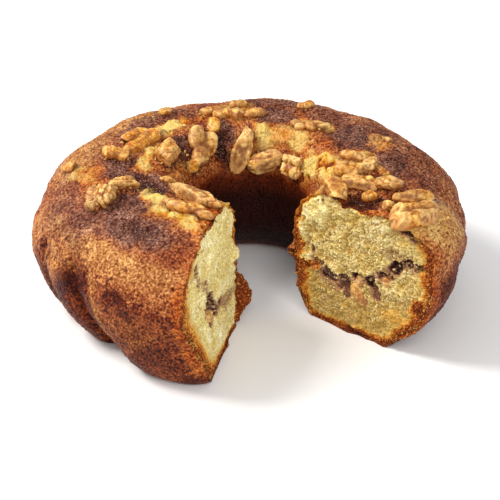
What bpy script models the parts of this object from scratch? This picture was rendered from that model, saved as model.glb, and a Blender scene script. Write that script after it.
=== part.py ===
"""A fluted ring cake with a wedge cut out, a cinnamon-walnut filling and walnut pieces on top.

Metres, +Z up. The cake stands on its fluted crown, so the open, browned side is the top.
The origin is on the surface it rests on, under the middle of the cake's box.
Azimuths are degrees about the ring's axis, anticlockwise from +X. The gap opens towards -Y.
"""

import bmesh
import bpy
import numpy as np
from mathutils import Vector

MM = 0.001
PART = "cinnamon_walnut_cake"
GAP = 0.3 * MM
TOPPING_GAP = 0.45 * MM
POCKET_GAP = 0.4 * MM
OVERRUN = 0.01

# Ring, as baked in a ten-inch fluted pan
RING_X = 0.3 * MM
RING_Y = -3.4 * MM
RIM_RADIUS = 120.5 * MM
RIM_HEIGHT = 46 * MM
FOOT_RADIUS = 98 * MM
HOLE_RADIUS = 32 * MM
HOLE_FOOT_RADIUS = 50 * MM
HOLE_FOOT_SWING = 7 * MM
TOP_FRONT = 78 * MM
TOP_BACK = 83.5 * MM
SHOULDER_RADIUS = 77 * MM
INNER_EDGE_RADIUS = 54 * MM
INNER_EDGE_DROP = 56 * MM
INNER_FOOT_HEIGHT = 28 * MM
STATIONS = 84
SECTION_POINTS = {"foot": 4, "wall": 7, "shoulder": 7, "top": 4, "edge": 5, "hole": 2, "inner_foot": 3}

# The two cuts: the right one is upright, the left one leans back from its foot
CUT_RIGHT = -40.0
CUT_LEFT = 258.5
CUT_LEFT_LEAN = 5.5
LEAN_HEIGHT = 50 * MM
BOXY_SPREAD = (5.0, 35.0)

# Petals pressed in by the pan, a wide and a narrow one every 45 degrees
PETAL_PITCH = 45.0
WIDE_PETAL = {"centre": -125.5, "half": 14.5, "swell": 10.0 * MM, "fade": (36 * MM, 52 * MM)}
NARROW_PETAL = {"centre": -148.0, "half": 8.0, "swell": 7.0 * MM, "fade": (36 * MM, 52 * MM)}
FRONT_PETAL = {"centre": -119.5, "half": 19.5, "swell": 13.0 * MM, "fade": (4 * MM, 52 * MM)}
VALLEY_DEPTH = 6 * MM
VALLEY_FADE = (42 * MM, 68 * MM)
CREASE_HEIGHT = 50 * MM
CREASE_DEPTH = 1.5 * MM
CREASE_SPREAD = 3 * MM
LUMPS = ((22 * MM, 1.3 * MM), (9 * MM, 0.4 * MM))

# Uneven rise of the shoulder: azimuth, spread, how far out
BULGES = ((163.0, 16.0, 2.2 * MM), (22.0, 8.0, 2.6 * MM), (47.0, 7.0, -2.2 * MM))

# Torn crust on the wall of the hole beside each cut: azimuth, height, how proud, spreads
CRAGS = (
    (253.0, 25 * MM, 7.0 * MM, 5.0, 9 * MM),
    (254.0, 43 * MM, 4.0 * MM, 4.0, 4 * MM),
    (-39.0, 35 * MM, 4.0 * MM, 5.0, 4 * MM),
)

# Filling: four points (ring radius, height) across the section at each cut
FILLING_RIGHT = ((46, 36), (62, 30), (91, 42), (112, 52))
FILLING_LEFT = ((50, 25), (72, 33), (82, 45), (92, 61))
FILLING_HALF = 3.0 * MM
FILLING_TIP = 0.35
FILLING_STATIONS = 30
FILLING_SIDE_POINTS = 8
FILLING_SWAY = 1.6 * MM

# Walnut pieces in the filling at the cuts: azimuth, ring radius, height, size across, up, deep
FILLING_WALNUTS = (
    ("filling_walnut_big", -40.6, 78, 24.5, 8, 13, 11),
    ("filling_walnut_small", -40.4, 95, 40, 7, 6, 8),
    ("filling_walnut_left", 255.2, 82.5, 31, 6, 9, 9),
)

# Walnut forms as overlapping lobes (x, y, radius) in a box two units long, and flat breaks
FORMS = {
    "bean": {"lobes": ((-0.42, 0.0, 0.62), (0.40, 0.05, 0.64)), "breaks": 0},
    "pair": {"lobes": ((-0.52, 0.0, 0.52), (0.45, 0.05, 0.58)), "breaks": 0},
    "half": {"lobes": tuple((x, y, 0.55) for x in (-0.55, 0.0, 0.55) for y in (-0.42, 0.42)), "breaks": 1},
    "heart": {"lobes": ((-0.38, -0.5, 0.55), (-0.38, 0.5, 0.55), (0.4, 0.0, 0.55)), "breaks": 1},
    "curl": {"lobes": ((-0.68, 0.28, 0.42), (-0.2, -0.2, 0.5), (0.25, 0.2, 0.5), (0.7, -0.2, 0.4)), "breaks": 0},
    "chunk": {"lobes": ((-0.2, -0.1, 0.85), (0.25, 0.15, 0.85)), "breaks": 8},
    "rough": {"lobes": tuple((x, y, 0.6) for x in (-0.5, 0.5) for y in (-0.45, 0.45)), "breaks": 6},
}
WALNUT_SEGMENTS = 9
WALNUT_RINGS = 6
WALNUT_SINK = 0.2

# Walnut pieces on top: form, azimuth, ring radius, heading, length, width, height in mm
WALNUTS = (
    ("chunk", 178.5, 101, 148, 12, 8, 7),
    ("bean", 157, 71.5, 36, 17, 8, 7),
    ("pair", 162, 64.5, 42, 25, 8.5, 8),
    ("pair", 175, 75.5, 170, 14, 9, 8),
    ("rough", -152.5, 89, 80, 20, 18, 10),
    ("rough", -158, 73, 29, 13, 9, 7),
    ("chunk", 169, 48, -80, 18, 13, 11),
    ("heart", 138.5, 43, -70, 25, 16, 9),
    ("chunk", 98, 37, -97, 26, 10, 9),
    ("chunk", 75, 35, 10, 20, 13, 10),
    ("chunk", -125, 50, -46, 33, 11, 9),
    ("curl", -120.5, 65, -27, 30, 9, 7),
    ("bean", 161, 37, 30, 8, 7, 7),
    ("bean", -160, 48, 20, 9, 5, 4),
    ("bean", 130, 78.5, 31, 8, 5, 5),
    ("bean", 117, 48.5, -97, 9, 7, 7),
    ("bean", 113, 67, 36, 8, 6, 5),
    ("pair", 106.5, 60, 28, 10, 7, 6),
    ("bean", 98.5, 56, 30, 8, 7, 7),
    ("pair", 88, 58, 30, 14, 7, 6),
    ("pair", 96, 74, 18, 10, 5, 5),
    ("pair", 65, 77, 14, 10, 5, 5),
    ("rough", 51.5, 53.5, -10, 20, 9, 6),
    ("rough", 41.5, 37, -39, 15, 12, 8),
    ("bean", 5, 57, -10, 13, 7, 6),
    ("half", -13, 55, -14, 15, 10, 8),
    ("chunk", -4, 65, 40, 13, 8, 7),
    ("chunk", -36, 55.5, 80, 18, 13, 9),
    ("half", -22.5, 63, -8, 18, 9, 8),
    ("chunk", -18.5, 78, -20, 14, 11, 8),
    ("bean", -30.5, 73.5, 20, 8, 6, 6),
    ("bean", -34, 87, 60, 8, 6, 6),
    ("chunk", -25, 95, 18, 23, 8, 8),
    ("rough", -35, 103.5, 20, 27, 16, 11),
    ("bean", 18, 80, -20, 7, 4, 4),
)


def clear_scene():
    """Remove every object that the file opened with."""
    for item in list(bpy.data.objects):
        bpy.data.objects.remove(item, do_unlink=True)


def make_collection(name):
    """Return a new collection linked to the scene."""
    group = bpy.data.collections.new(name)
    bpy.context.scene.collection.children.link(group)
    return group


def make_material(name, colour, roughness):
    """Return a plain Principled material."""
    material = bpy.data.materials.new(name)
    material.use_nodes = True
    shader = material.node_tree.nodes["Principled BSDF"]
    shader.inputs["Base Color"].default_value = (*colour, 1.0)
    shader.inputs["Roughness"].default_value = roughness
    shader.inputs["Metallic"].default_value = 0.0
    return material


def smooth(value, low, high):
    """Rise from 0 at low to 1 at high with a smooth step."""
    t = np.clip((value - low) / (high - low), 0.0, 1.0)
    return t * t * (3 - 2 * t)


def turn(angle):
    """Bring a difference of azimuths into -180 to 180 degrees."""
    return (angle + 180) % 360 - 180


def lattice_value(x, y, z, seed):
    """Give each lattice point a fixed value from 0 to 1 by mixing the bits of its indices."""
    n = (x * 73856093) ^ (y * 19349663) ^ (z * 83492791) ^ (seed * 2654435761)
    n = n & 0xFFFFFFFF
    n = ((n ^ (n >> 15)) * 2246822519) & 0xFFFFFFFF
    n = ((n ^ (n >> 13)) * 3266489917) & 0xFFFFFFFF
    return (n ^ (n >> 16)) / 4294967295.0


def noise(points, cell, seed):
    """Smooth noise from -1 to 1: lattice values blended across cubes of side cell."""
    place = np.asarray(points) / cell
    base = np.floor(place).astype(np.int64)
    part = place - base
    part = part ** 3 * (part * (part * 6 - 15) + 10)
    total = 0.0
    for dx in (0, 1):
        for dy in (0, 1):
            for dz in (0, 1):
                near = abs(1 - dx - part[..., 0]) * abs(1 - dy - part[..., 1]) * abs(1 - dz - part[..., 2])
                corner = lattice_value(base[..., 0] + dx, base[..., 1] + dy, base[..., 2] + dz, seed)
                total = total + near * corner
    return total * 2 - 1


def quarter(count, power):
    """Cosine and sine sides of a superellipse's quarter, without its last point."""
    t = np.linspace(0, np.pi / 2, count + 1)[:-1]
    return np.cos(t) ** (2 / power), np.sin(t) ** (2 / power)


def all_petals():
    """List every petal, with the large one in front in place of the wide one there."""
    petals = [FRONT_PETAL]
    for index in range(8):
        angle = PETAL_PITCH * index
        petals.append({**NARROW_PETAL, "centre": NARROW_PETAL["centre"] + angle})
        if index:
            petals.append({**WIDE_PETAL, "centre": WIDE_PETAL["centre"] + angle})
    return petals


def petal_relief(azimuth, height):
    """How far the wall stands out on the petals and back in the valleys between them."""
    swell = 0.0
    stand_out = 0.0
    for petal in all_petals():
        across = np.minimum(np.abs(turn(azimuth - petal["centre"])) / petal["half"], 1)
        bump = petal["swell"] * np.sqrt(1 - across ** 3)
        swell = np.maximum(swell, bump)
        low = np.maximum(bump - VALLEY_DEPTH, 0) * (1 - smooth(height, *petal["fade"]))
        stand_out = np.maximum(stand_out, low)
    return stand_out + np.minimum(swell - VALLEY_DEPTH, 0) * (1 - smooth(height, *VALLEY_FADE))


def cut_left_azimuth(height):
    """Azimuth of the left cut at a height."""
    return CUT_LEFT - CUT_LEFT_LEAN * smooth(height, 0, LEAN_HEIGHT)


def section(azimuth):
    """The closed section at each azimuth, as arrays of ring radius and height.

    It runs outwards along the foot, up the outer wall, round the shoulder, inwards over
    the top, round the inner edge and down the wall of the hole. The curved stretches are
    quarters of superellipses.
    """
    azimuth = np.asarray(azimuth, float)[:, None]
    back = np.sin(np.radians(azimuth))
    boxy = 1 - smooth(np.abs(turn(azimuth - CUT_RIGHT)), *BOXY_SPREAD)
    level = 0 * azimuth
    top = TOP_FRONT + (TOP_BACK - TOP_FRONT) * smooth(back, -0.6, 0.8)
    rim = RIM_RADIUS + 5 * MM * boxy
    rim_height = RIM_HEIGHT + 12 * MM * boxy
    shoulder = SHOULDER_RADIUS + 8 * MM * boxy
    round_top = 1.62 + 0.9 * boxy
    hole = HOLE_RADIUS + 1.5 * MM * back
    hole_low = hole + 2 * MM
    hole_foot = HOLE_FOOT_RADIUS + HOLE_FOOT_SWING * back
    radii, heights = [], []

    def add(radius, height):
        radii.append(radius + level)
        heights.append(height + level)

    count = SECTION_POINTS
    step = np.linspace(0, 1, count["foot"], endpoint=False)
    add(hole_foot + (FOOT_RADIUS - hole_foot) * step, 0 * step)
    fall, rise = quarter(count["wall"], 1.4)
    add(FOOT_RADIUS + (rim - FOOT_RADIUS) * rise, rim_height * (1 - fall))
    angle = np.linspace(0, np.pi / 2, count["shoulder"] + 1)[:-1]
    add(shoulder + (rim - shoulder) * np.cos(angle) ** (2 / round_top),
        rim_height + (top - rim_height) * np.sin(angle) ** (2 / round_top))
    step = np.linspace(0, 1, count["top"], endpoint=False)
    add(shoulder + (INNER_EDGE_RADIUS - shoulder) * step, top - 0.6 * MM * np.sin(np.pi * step))
    fall, rise = quarter(count["edge"], 1.9)
    add(INNER_EDGE_RADIUS - (INNER_EDGE_RADIUS - hole) * rise, INNER_EDGE_DROP + (top - INNER_EDGE_DROP) * fall)
    step = np.linspace(0, 1, count["hole"], endpoint=False)
    add(hole + (hole_low - hole) * step, INNER_EDGE_DROP + (INNER_FOOT_HEIGHT - INNER_EDGE_DROP) * step)
    fall, rise = quarter(count["inner_foot"], 1.5)
    add(hole_low + (hole_foot - hole_low) * (1 - fall), INNER_FOOT_HEIGHT * (1 - rise))
    radius = np.concatenate(radii, axis=1)
    height = np.concatenate(heights, axis=1)

    radius = radius + petal_relief(azimuth, height) * smooth(radius, 80 * MM, 96 * MM)
    crease = CREASE_DEPTH * np.exp(-((height - CREASE_HEIGHT) / CREASE_SPREAD) ** 2)
    radius = radius - crease * smooth(radius, 90 * MM, 105 * MM) * (1 - 0.7 * boxy)
    return radius, height


def place(azimuth, radius, height):
    """Points in the part's frame from azimuth, ring radius and height."""
    angle = np.radians(azimuth)
    return np.stack([RING_X + radius * np.cos(angle), RING_Y + radius * np.sin(angle), height + 0 * angle], axis=-1)


def grid_normals(points):
    """Outward unit normals of a grid that is closed along its second side."""
    along = np.gradient(points, axis=0)
    across = np.roll(points, -1, axis=1) - np.roll(points, 1, axis=1)
    normal = np.cross(along, across)
    return normal / np.linalg.norm(normal, axis=-1, keepdims=True)


def shares(first, last, stations, overrun):
    """Even shares of the way from the right cut to the left cut, and one past each if asked for."""
    share = np.linspace(first, last, stations + 1)
    return np.concatenate([[-overrun], share, [1 + overrun]]) if overrun else share


def ring_points(stations, offset=0.0, overrun=0.0):
    """The cake's outside as a grid of sections from the right cut to the left cut."""
    share = shares(0.0, 1.0, stations, overrun)
    radius, height = section(CUT_RIGHT + (CUT_LEFT - CUT_RIGHT) * share)
    azimuth = CUT_RIGHT + (cut_left_azimuth(height) - CUT_RIGHT) * share[:, None]
    for where, level, proud, spread, spread_up in CRAGS:
        near = np.exp(-(turn(azimuth - where) / spread) ** 2 - ((height - level) / spread_up) ** 2)
        radius = radius - proud * near * (1 - smooth(radius, 45 * MM, 60 * MM))
    points = place(azimuth, radius, height)
    normal = grid_normals(points)
    lump = sum(size * noise(points, cell, index) for index, (cell, size) in enumerate(LUMPS))
    for where, spread, size in BULGES:
        near = np.exp(-(turn(azimuth - where) / spread) ** 2) * smooth(radius, 70 * MM, 100 * MM)
        lump = lump + size * near * smooth(height, 45 * MM, 60 * MM)
    lump = lump * smooth(height, 2 * MM, 12 * MM)
    return points + normal * (lump + offset)[..., None]


def filling_points(offset=0.0, overrun=0.0):
    """The filling's ribbon as a grid of loops: a cubic through four points, with a thickness.

    It stops just short of both cuts, unless an overrun takes it past them.
    """
    share = shares(0.001, 0.999, FILLING_STATIONS, overrun)[:, None]
    t = np.linspace(0, 1, FILLING_SIDE_POINTS)
    weights = []
    for k in range(4):
        others = [j for j in range(4) if j != k]
        weights.append(np.prod([(3 * t - j) / (k - j) for j in others], axis=0))
    weights = np.array(weights)
    blend = smooth(share, 0, 1)
    right = np.array(FILLING_RIGHT).T @ weights * MM
    left = np.array(FILLING_LEFT).T @ weights * MM
    radius = right[0] * (1 - blend) + left[0] * blend
    height = right[1] * (1 - blend) + left[1] * blend
    inner = np.maximum(4 * share * (1 - share), 0)
    radius = radius - 5 * MM * inner * (t - 0.3)
    height = height + FILLING_SWAY * np.sin(5 * np.pi * share + 4 * t) * inner
    slope_r = np.gradient(radius, axis=1)
    slope_z = np.gradient(height, axis=1)
    size = np.hypot(slope_r, slope_z)
    half = FILLING_HALF * (FILLING_TIP + (1 - FILLING_TIP) * np.sqrt(np.sin(np.pi * t))) + offset
    reach = offset * (2 * t - 1)
    upper_r = radius - half * slope_z / size + reach * slope_r / size
    upper_z = height + half * slope_r / size + reach * slope_z / size
    lower_r = radius + half * slope_z / size + reach * slope_r / size
    lower_z = height - half * slope_r / size + reach * slope_z / size
    loop_r = np.concatenate([lower_r, upper_r[:, ::-1]], axis=1)
    loop_z = np.concatenate([lower_z, upper_z[:, ::-1]], axis=1)
    azimuth = CUT_RIGHT + (cut_left_azimuth(loop_z) - CUT_RIGHT) * share
    return place(azimuth, loop_r, loop_z)


def loft(name, points, group, material=None):
    """A closed solid through a grid of loops, with a flat-shaded cap at each end."""
    rows, columns = points.shape[:2]
    index = np.arange(rows * columns).reshape(rows, columns)
    after = np.roll(index, -1, axis=1)
    sides = np.stack([index[:-1], index[1:], after[1:], after[:-1]], axis=-1).reshape(-1, 4)
    faces = [tuple(map(int, face)) for face in sides]
    faces.append(tuple(int(i) for i in index[0]))
    faces.append(tuple(int(i) for i in index[-1, ::-1]))
    mesh = bpy.data.meshes.new(name)
    mesh.from_pydata(points.reshape(-1, 3).tolist(), [], faces)
    shape = bmesh.new()
    shape.from_mesh(mesh)
    bmesh.ops.triangulate(shape, faces=shape.faces[:])
    bmesh.ops.recalc_face_normals(shape, faces=shape.faces[:])
    shape.to_mesh(mesh)
    shape.free()
    return add_object(name, mesh, group, material)


def add_object(name, mesh, group, material=None):
    """Link a new object to its collection."""
    item = bpy.data.objects.new(name, mesh)
    if material:
        mesh.materials.append(material)
    group.objects.link(item)
    return item


def as_cutter(item):
    """Show an object as wire only."""
    item.hide_render = True
    item.display_type = "WIRE"
    return item


def cut(item, cutter):
    """Take a cutter away from an object."""
    step = item.modifiers.new("cut_" + cutter.name, "BOOLEAN")
    step.operation = "DIFFERENCE"
    step.object = cutter
    return step


def walnut_directions():
    """Return a sphere's mesh with its poles on the X axis."""
    shape = bmesh.new()
    bmesh.ops.create_uvsphere(shape, u_segments=WALNUT_SEGMENTS, v_segments=WALNUT_RINGS, radius=1)
    for vertex in shape.verts:
        x, y, z = vertex.co
        vertex.co = Vector((z, y, -x))
    bmesh.ops.triangulate(shape, faces=shape.faces[:])
    return shape


def walnut_reach(direction, form, seed):
    """Distance from the middle to the surface in unit directions.

    The lobes are spheres. A ray leaves sphere (c, r) at c.d + sqrt(r^2 - c.c + (c.d)^2), and the
    farthest lobe counts. A break is a plane, which a ray meets at h / (n.d), and the nearest counts.
    """
    draw = np.random.default_rng(seed)
    lobes = np.array([(x, y, 0.0) for x, y, _ in FORMS[form]["lobes"]])
    radii = np.array([r for _, _, r in FORMS[form]["lobes"]])
    lobes[:, 2] = draw.uniform(-0.08, 0.18, len(lobes))
    radii = radii * draw.uniform(0.92, 1.08, len(radii))
    along = direction @ lobes.T
    under = radii ** 2 - (lobes ** 2).sum(axis=1) + along ** 2
    leave = np.where(under > 0, along + np.sqrt(np.maximum(under, 0)), 0.15)
    reach = np.log(np.exp(14 * leave).sum(axis=1)) / 14
    for _ in range(FORMS[form]["breaks"]):
        normal = draw.normal(size=3)
        normal = normal / np.linalg.norm(normal)
        distance = draw.uniform(0.62, 0.86)
        facing = np.maximum(direction @ normal, 0.05)
        reach = np.minimum(reach, distance / facing)
    return reach * (1 + 0.06 * noise(direction + seed, 0.5, seed))


def walnut_mesh(name, form, seed, size, axes, middle, offset=0.0):
    """A walnut piece: a sphere drawn out to its form, sized, turned to its axes and put in place."""
    shape = walnut_directions()
    direction = np.array([vertex.co for vertex in shape.verts])
    unit = direction * walnut_reach(direction, form, seed)[:, None]
    low, high = unit.min(axis=0), unit.max(axis=0)
    unit = (unit - (low + high) / 2) / (high - low)
    local = unit * np.array(size) + direction * offset
    points = middle + local @ np.array(axes)
    for vertex, point in zip(shape.verts, points):
        vertex.co = point
    mesh = bpy.data.meshes.new(name)
    shape.to_mesh(mesh)
    shape.free()
    return mesh


def between(values, where):
    """Blend neighbouring rows at a fractional index."""
    first = min(int(where), len(values) - 2)
    share = where - first
    return values[first] * (1 - share) + values[first + 1] * share


def surface_at(grid, azimuth, radius):
    """Point and outward normal on the cake's upper side at an azimuth and ring radius."""
    row = (azimuth - CUT_RIGHT) % 360 / (cut_left_azimuth(TOP_FRONT) - CUT_RIGHT) * (len(grid) - 1)
    points = between(grid, row)
    normals = between(grid_normals(grid), row)
    rings = np.hypot(points[:, 0] - RING_X, points[:, 1] - RING_Y)
    first = SECTION_POINTS["foot"] + SECTION_POINTS["wall"]
    last = first + SECTION_POINTS["shoulder"] + SECTION_POINTS["top"] + SECTION_POINTS["edge"]
    upper = np.arange(first, last + 1)
    column = np.interp(-radius, -rings[upper], upper)
    normal = between(normals, column)
    return between(points, column), normal / np.linalg.norm(normal)


def make_cake(group, cutters):
    """The crumb and crust in one solid, with the tunnel for the filling."""
    material = make_material("golden_brown_crust", (0.45, 0.19, 0.055), 0.7)
    cake = loft("cake", ring_points(STATIONS), group, material)
    tunnel = loft("filling_tunnel", filling_points(GAP, OVERRUN), cutters)
    cut(cake, as_cutter(tunnel))
    return cake


def make_filling(group):
    """The cinnamon layer that runs round the ring and shows at both cuts."""
    material = make_material("cinnamon_filling", (0.10, 0.035, 0.015), 0.6)
    return loft("filling", filling_points(), group, material)


def make_filling_walnuts(group, cutters, cake, filling, material):
    """The walnut pieces cut through in the filling, each in its pocket."""
    for index, (name, azimuth, radius, height, across, up, deep) in enumerate(FILLING_WALNUTS):
        angle = np.radians(azimuth)
        upward = np.array([0.0, 0.0, 1.0])
        across_cut = np.array([np.cos(angle), np.sin(angle), 0.0])
        if azimuth > 180:
            across_cut = -across_cut
        inward = np.cross(upward, across_cut)
        middle = place(azimuth, radius * MM, height * MM) + inward * 0.35 * deep * MM
        size = (up * MM, across * MM, deep * MM)
        axes = (upward, across_cut, inward)
        seed = 300 + index
        mesh = walnut_mesh(name, "pair", seed, size, axes, middle)
        add_object(name, mesh, group, material)
        mesh = walnut_mesh(name + "_pocket", "pair", seed, size, axes, middle, POCKET_GAP)
        pocket = as_cutter(add_object(name + "_pocket", mesh, cutters))
        cut(cake, pocket)
        cut(filling, pocket)


def make_walnuts(group, cutters, material):
    """The walnut pieces on top, each sunk a little and cut to the cake's surface."""
    clearance = as_cutter(loft("cake_clearance", ring_points(STATIONS, TOPPING_GAP, OVERRUN), cutters))
    grid = ring_points(STATIONS)
    for index, (form, azimuth, radius, heading, length, width, height) in enumerate(WALNUTS):
        point, normal = surface_at(grid, azimuth, radius * MM)
        angle = np.radians(heading)
        along = np.array([np.cos(angle), np.sin(angle), 0.0])
        along = along - normal * (along @ normal)
        along = along / np.linalg.norm(along)
        side = np.cross(normal, along)
        middle = point + normal * height * MM * (0.5 - WALNUT_SINK)
        name = f"walnut_{index + 1:02d}"
        size = (length * MM, width * MM, height * MM)
        mesh = walnut_mesh(name, form, index, size, (along, side, normal), middle)
        cut(add_object(name, mesh, group, material), clearance)


def main():
    clear_scene()
    parts = make_collection(PART)
    cutters = make_collection("cutters")
    walnut = make_material("toasted_walnut", (0.60, 0.36, 0.15), 0.5)
    cake = make_cake(parts, cutters)
    filling = make_filling(parts)
    make_filling_walnuts(parts, cutters, cake, filling, walnut)
    make_walnuts(parts, cutters, walnut)


main()
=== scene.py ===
# %% [markdown]
# # A cinnamon walnut ring cake
#
# The cake was baked in a fluted ring pan and stands on its fluted crown, with the open,
# browned side up. A wedge is cut out towards the reader, so two crumb faces show, each
# with a dark cinnamon filling running through it. Walnut pieces lie on top.
#
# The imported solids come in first. Everything made below takes its place from them and
# stays inside their box.

# %% Load the solids
import bpy
import numpy as np
from mathutils import Matrix, Vector


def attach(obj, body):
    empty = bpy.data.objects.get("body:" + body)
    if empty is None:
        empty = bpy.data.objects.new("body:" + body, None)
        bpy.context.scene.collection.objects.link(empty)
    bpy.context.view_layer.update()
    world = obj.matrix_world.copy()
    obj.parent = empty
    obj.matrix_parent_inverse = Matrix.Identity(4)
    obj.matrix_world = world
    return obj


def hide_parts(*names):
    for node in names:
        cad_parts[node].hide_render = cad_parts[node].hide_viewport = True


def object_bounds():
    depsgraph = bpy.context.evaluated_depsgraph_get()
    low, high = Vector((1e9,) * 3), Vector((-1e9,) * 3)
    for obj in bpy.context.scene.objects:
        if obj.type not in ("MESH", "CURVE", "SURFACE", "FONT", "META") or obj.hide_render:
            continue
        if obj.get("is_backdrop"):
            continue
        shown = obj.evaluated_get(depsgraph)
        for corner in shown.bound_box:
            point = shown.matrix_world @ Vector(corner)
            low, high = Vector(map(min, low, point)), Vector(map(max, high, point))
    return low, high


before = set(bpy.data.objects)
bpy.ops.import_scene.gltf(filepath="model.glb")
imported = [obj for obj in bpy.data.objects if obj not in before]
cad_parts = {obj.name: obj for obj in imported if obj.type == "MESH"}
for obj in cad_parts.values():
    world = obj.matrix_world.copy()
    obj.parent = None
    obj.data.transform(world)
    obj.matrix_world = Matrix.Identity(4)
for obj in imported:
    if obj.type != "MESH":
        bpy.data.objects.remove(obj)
CAD_LOW, CAD_HIGH = (np.array(corner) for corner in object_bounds())
MM = 0.001
print("box of the solids in mm:", (CAD_LOW / MM).round(1), (CAD_HIGH / MM).round(1))

# %% [markdown]
# ## Noise
#
# Cake is uneven at every size, from lumps as wide as a thumb to single grains of sugar.
# All of it comes from one kind of smooth noise: each corner of a grid of cubes holds a
# fixed value, and a point inside a cube takes a blend of its eight corners. The values
# come from mixing bits, not from a random generator, so they are the same on each run.

# %% Smooth steps and noise


def smooth(value, low, high):
    """Rise from 0 at low to 1 at high: 3 t^2 - 2 t^3."""
    t = np.clip((value - low) / (high - low), 0.0, 1.0)
    return t * t * (3 - 2 * t)


def turn(angle):
    """Bring a difference of azimuths into -180 to 180 degrees."""
    return (angle + 180) % 360 - 180


def lattice_value(x, y, z, seed):
    """Give each lattice point a fixed value from 0 to 1 by mixing the bits of its indices."""
    n = (x * 73856093) ^ (y * 19349663) ^ (z * 83492791) ^ (seed * 2654435761)
    n = n & 0xFFFFFFFF
    n = ((n ^ (n >> 15)) * 2246822519) & 0xFFFFFFFF
    n = ((n ^ (n >> 13)) * 3266489917) & 0xFFFFFFFF
    return (n ^ (n >> 16)) / 4294967295.0


def noise(points, cell, seed):
    """Smooth noise from -1 to 1: lattice values blended across cubes of side cell."""
    place = np.asarray(points) / cell
    base = np.floor(place).astype(np.int64)
    part = place - base
    part = part ** 3 * (part * (part * 6 - 15) + 10)
    total = 0.0
    for dx in (0, 1):
        for dy in (0, 1):
            for dz in (0, 1):
                near = np.abs(1 - np.array([dx, dy, dz]) - part).prod(axis=-1)
                corner = base + np.array([dx, dy, dz])
                total = total + near * lattice_value(*np.moveaxis(corner, -1, 0), seed)
    return total * 2 - 1


FOLD = True


def layered(points, layers, seed=0):
    """Sum of noises. A layer is a cell, a seed and a weight, and with FOLD its |noise| counts."""
    total = 0.0
    for cell, own_seed, weight, *fold in layers:
        value = noise(points, cell, seed + own_seed)
        total = total + weight * (np.abs(value) if fold else value)
    return total


print("noise at three points:", noise(np.eye(3), 0.7, 0).round(3))

# %% [markdown]
# ## The ring's section
#
# A fluted ring is a section carried round an axis. The section here is a chain of
# straight runs and quarters of superellipses: foot, outer wall, shoulder, top, inner
# edge, wall of the hole and inner foot. The petals of the pan push the wall in and out.
# The same formulas made the solids, so the surface lands on them, only with many more
# points. The points are spread evenly along each quarter, or its flat ends would be
# sampled too finely and its bend too coarsely.

# %% Sizes of the ring
# Everything is in millimetres and degrees until a mesh is made. Azimuth 0 is to the right.
RING_X, RING_Y = 0.3, -3.4
RIM_RADIUS, RIM_HEIGHT = 120.5, 46
FOOT_RADIUS = 98
HOLE_RADIUS, HOLE_SWING, HOLE_TAPER = 32, 1.5, 2
HOLE_FOOT_RADIUS, HOLE_FOOT_SWING = 50, 7
TOP_FRONT, TOP_BACK = 78, 83.5
TOP_TILT = (-0.6, 0.8)
TOP_SAG = 0.6
SHOULDER_RADIUS = 77
INNER_EDGE_RADIUS, INNER_EDGE_DROP = 54, 56
INNER_FOOT_HEIGHT = 28
CUT_RIGHT, CUT_LEFT, CUT_LEFT_LEAN = -40.0, 258.5, 5.5
LEAN_HEIGHT = 50
BOXY_SPREAD = (5, 35)
BOXY = {"rim": 5, "rim_height": 12, "shoulder": 8, "power": 0.9}
PETAL_PITCH = 45
PETALS_ROUND = 8
WIDE_PETAL = {"centre": -125.5, "half": 14.5, "swell": 10, "fade": (36, 52)}
NARROW_PETAL = {"centre": -148.0, "half": 8.0, "swell": 7, "fade": (36, 52)}
FRONT_PETAL = {"centre": -118.3, "half": 18.3, "swell": 13, "fade": (4, 52), "lean": 0.18}
LEAN_TOP = 55
WORN_CORNER, WORN_FADE = 7, (-4, 20)
VALLEY_DEPTH, VALLEY_FADE = 6, (42, 68)
CREASE = {"height": 50, "depth": 1.5, "spread": 3, "rings": (90, 105), "boxy": 0.7}
ON_WALL = (80, 96)
# Lumps are layers of noise; bulges have an azimuth, a spread and a size; crags an azimuth, a height, a size,
# and a spread round the ring and upwards
LUMPS, LUMP_FADE = ((22, 0, 1.3), (9, 1, 0.4)), (2, 12)
BULGES = ((160, 12, 2.5), (137, 10, 2.6), (78, 8, 3), (62, 4, 1), (43, 6, 1.6), (31, 5, 1.4), (13, 8, 3.6))
BULGE_RINGS, BULGE_HEIGHTS = (70, 100), (36, 52)
CRAGS, CRAG_RINGS = ((253, 25, 7, 5, 9), (254, 43, 4, 4, 4), (-39, 35, 4, 5, 4)), (45, 60)
SECTION_POINTS = {"foot": 8, "wall": 116, "shoulder": 132, "top": 64, "edge": 84, "hole": 24,
                  "inner_foot": 18}
POWERS = {"wall": 1.4, "shoulder": 1.62, "edge": 1.9, "inner_foot": 1.5}
print("points round one section:", sum(SECTION_POINTS.values()))

# %% Petals and cuts


def all_petals():
    """List every petal, with the large one in front in place of the wide one there."""
    turns = PETAL_PITCH * np.arange(PETALS_ROUND)
    narrow = [{**NARROW_PETAL, "centre": NARROW_PETAL["centre"] + angle} for angle in turns]
    wide = [{**WIDE_PETAL, "centre": WIDE_PETAL["centre"] + angle} for angle in turns[1:]]
    return [FRONT_PETAL] + narrow + wide


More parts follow.
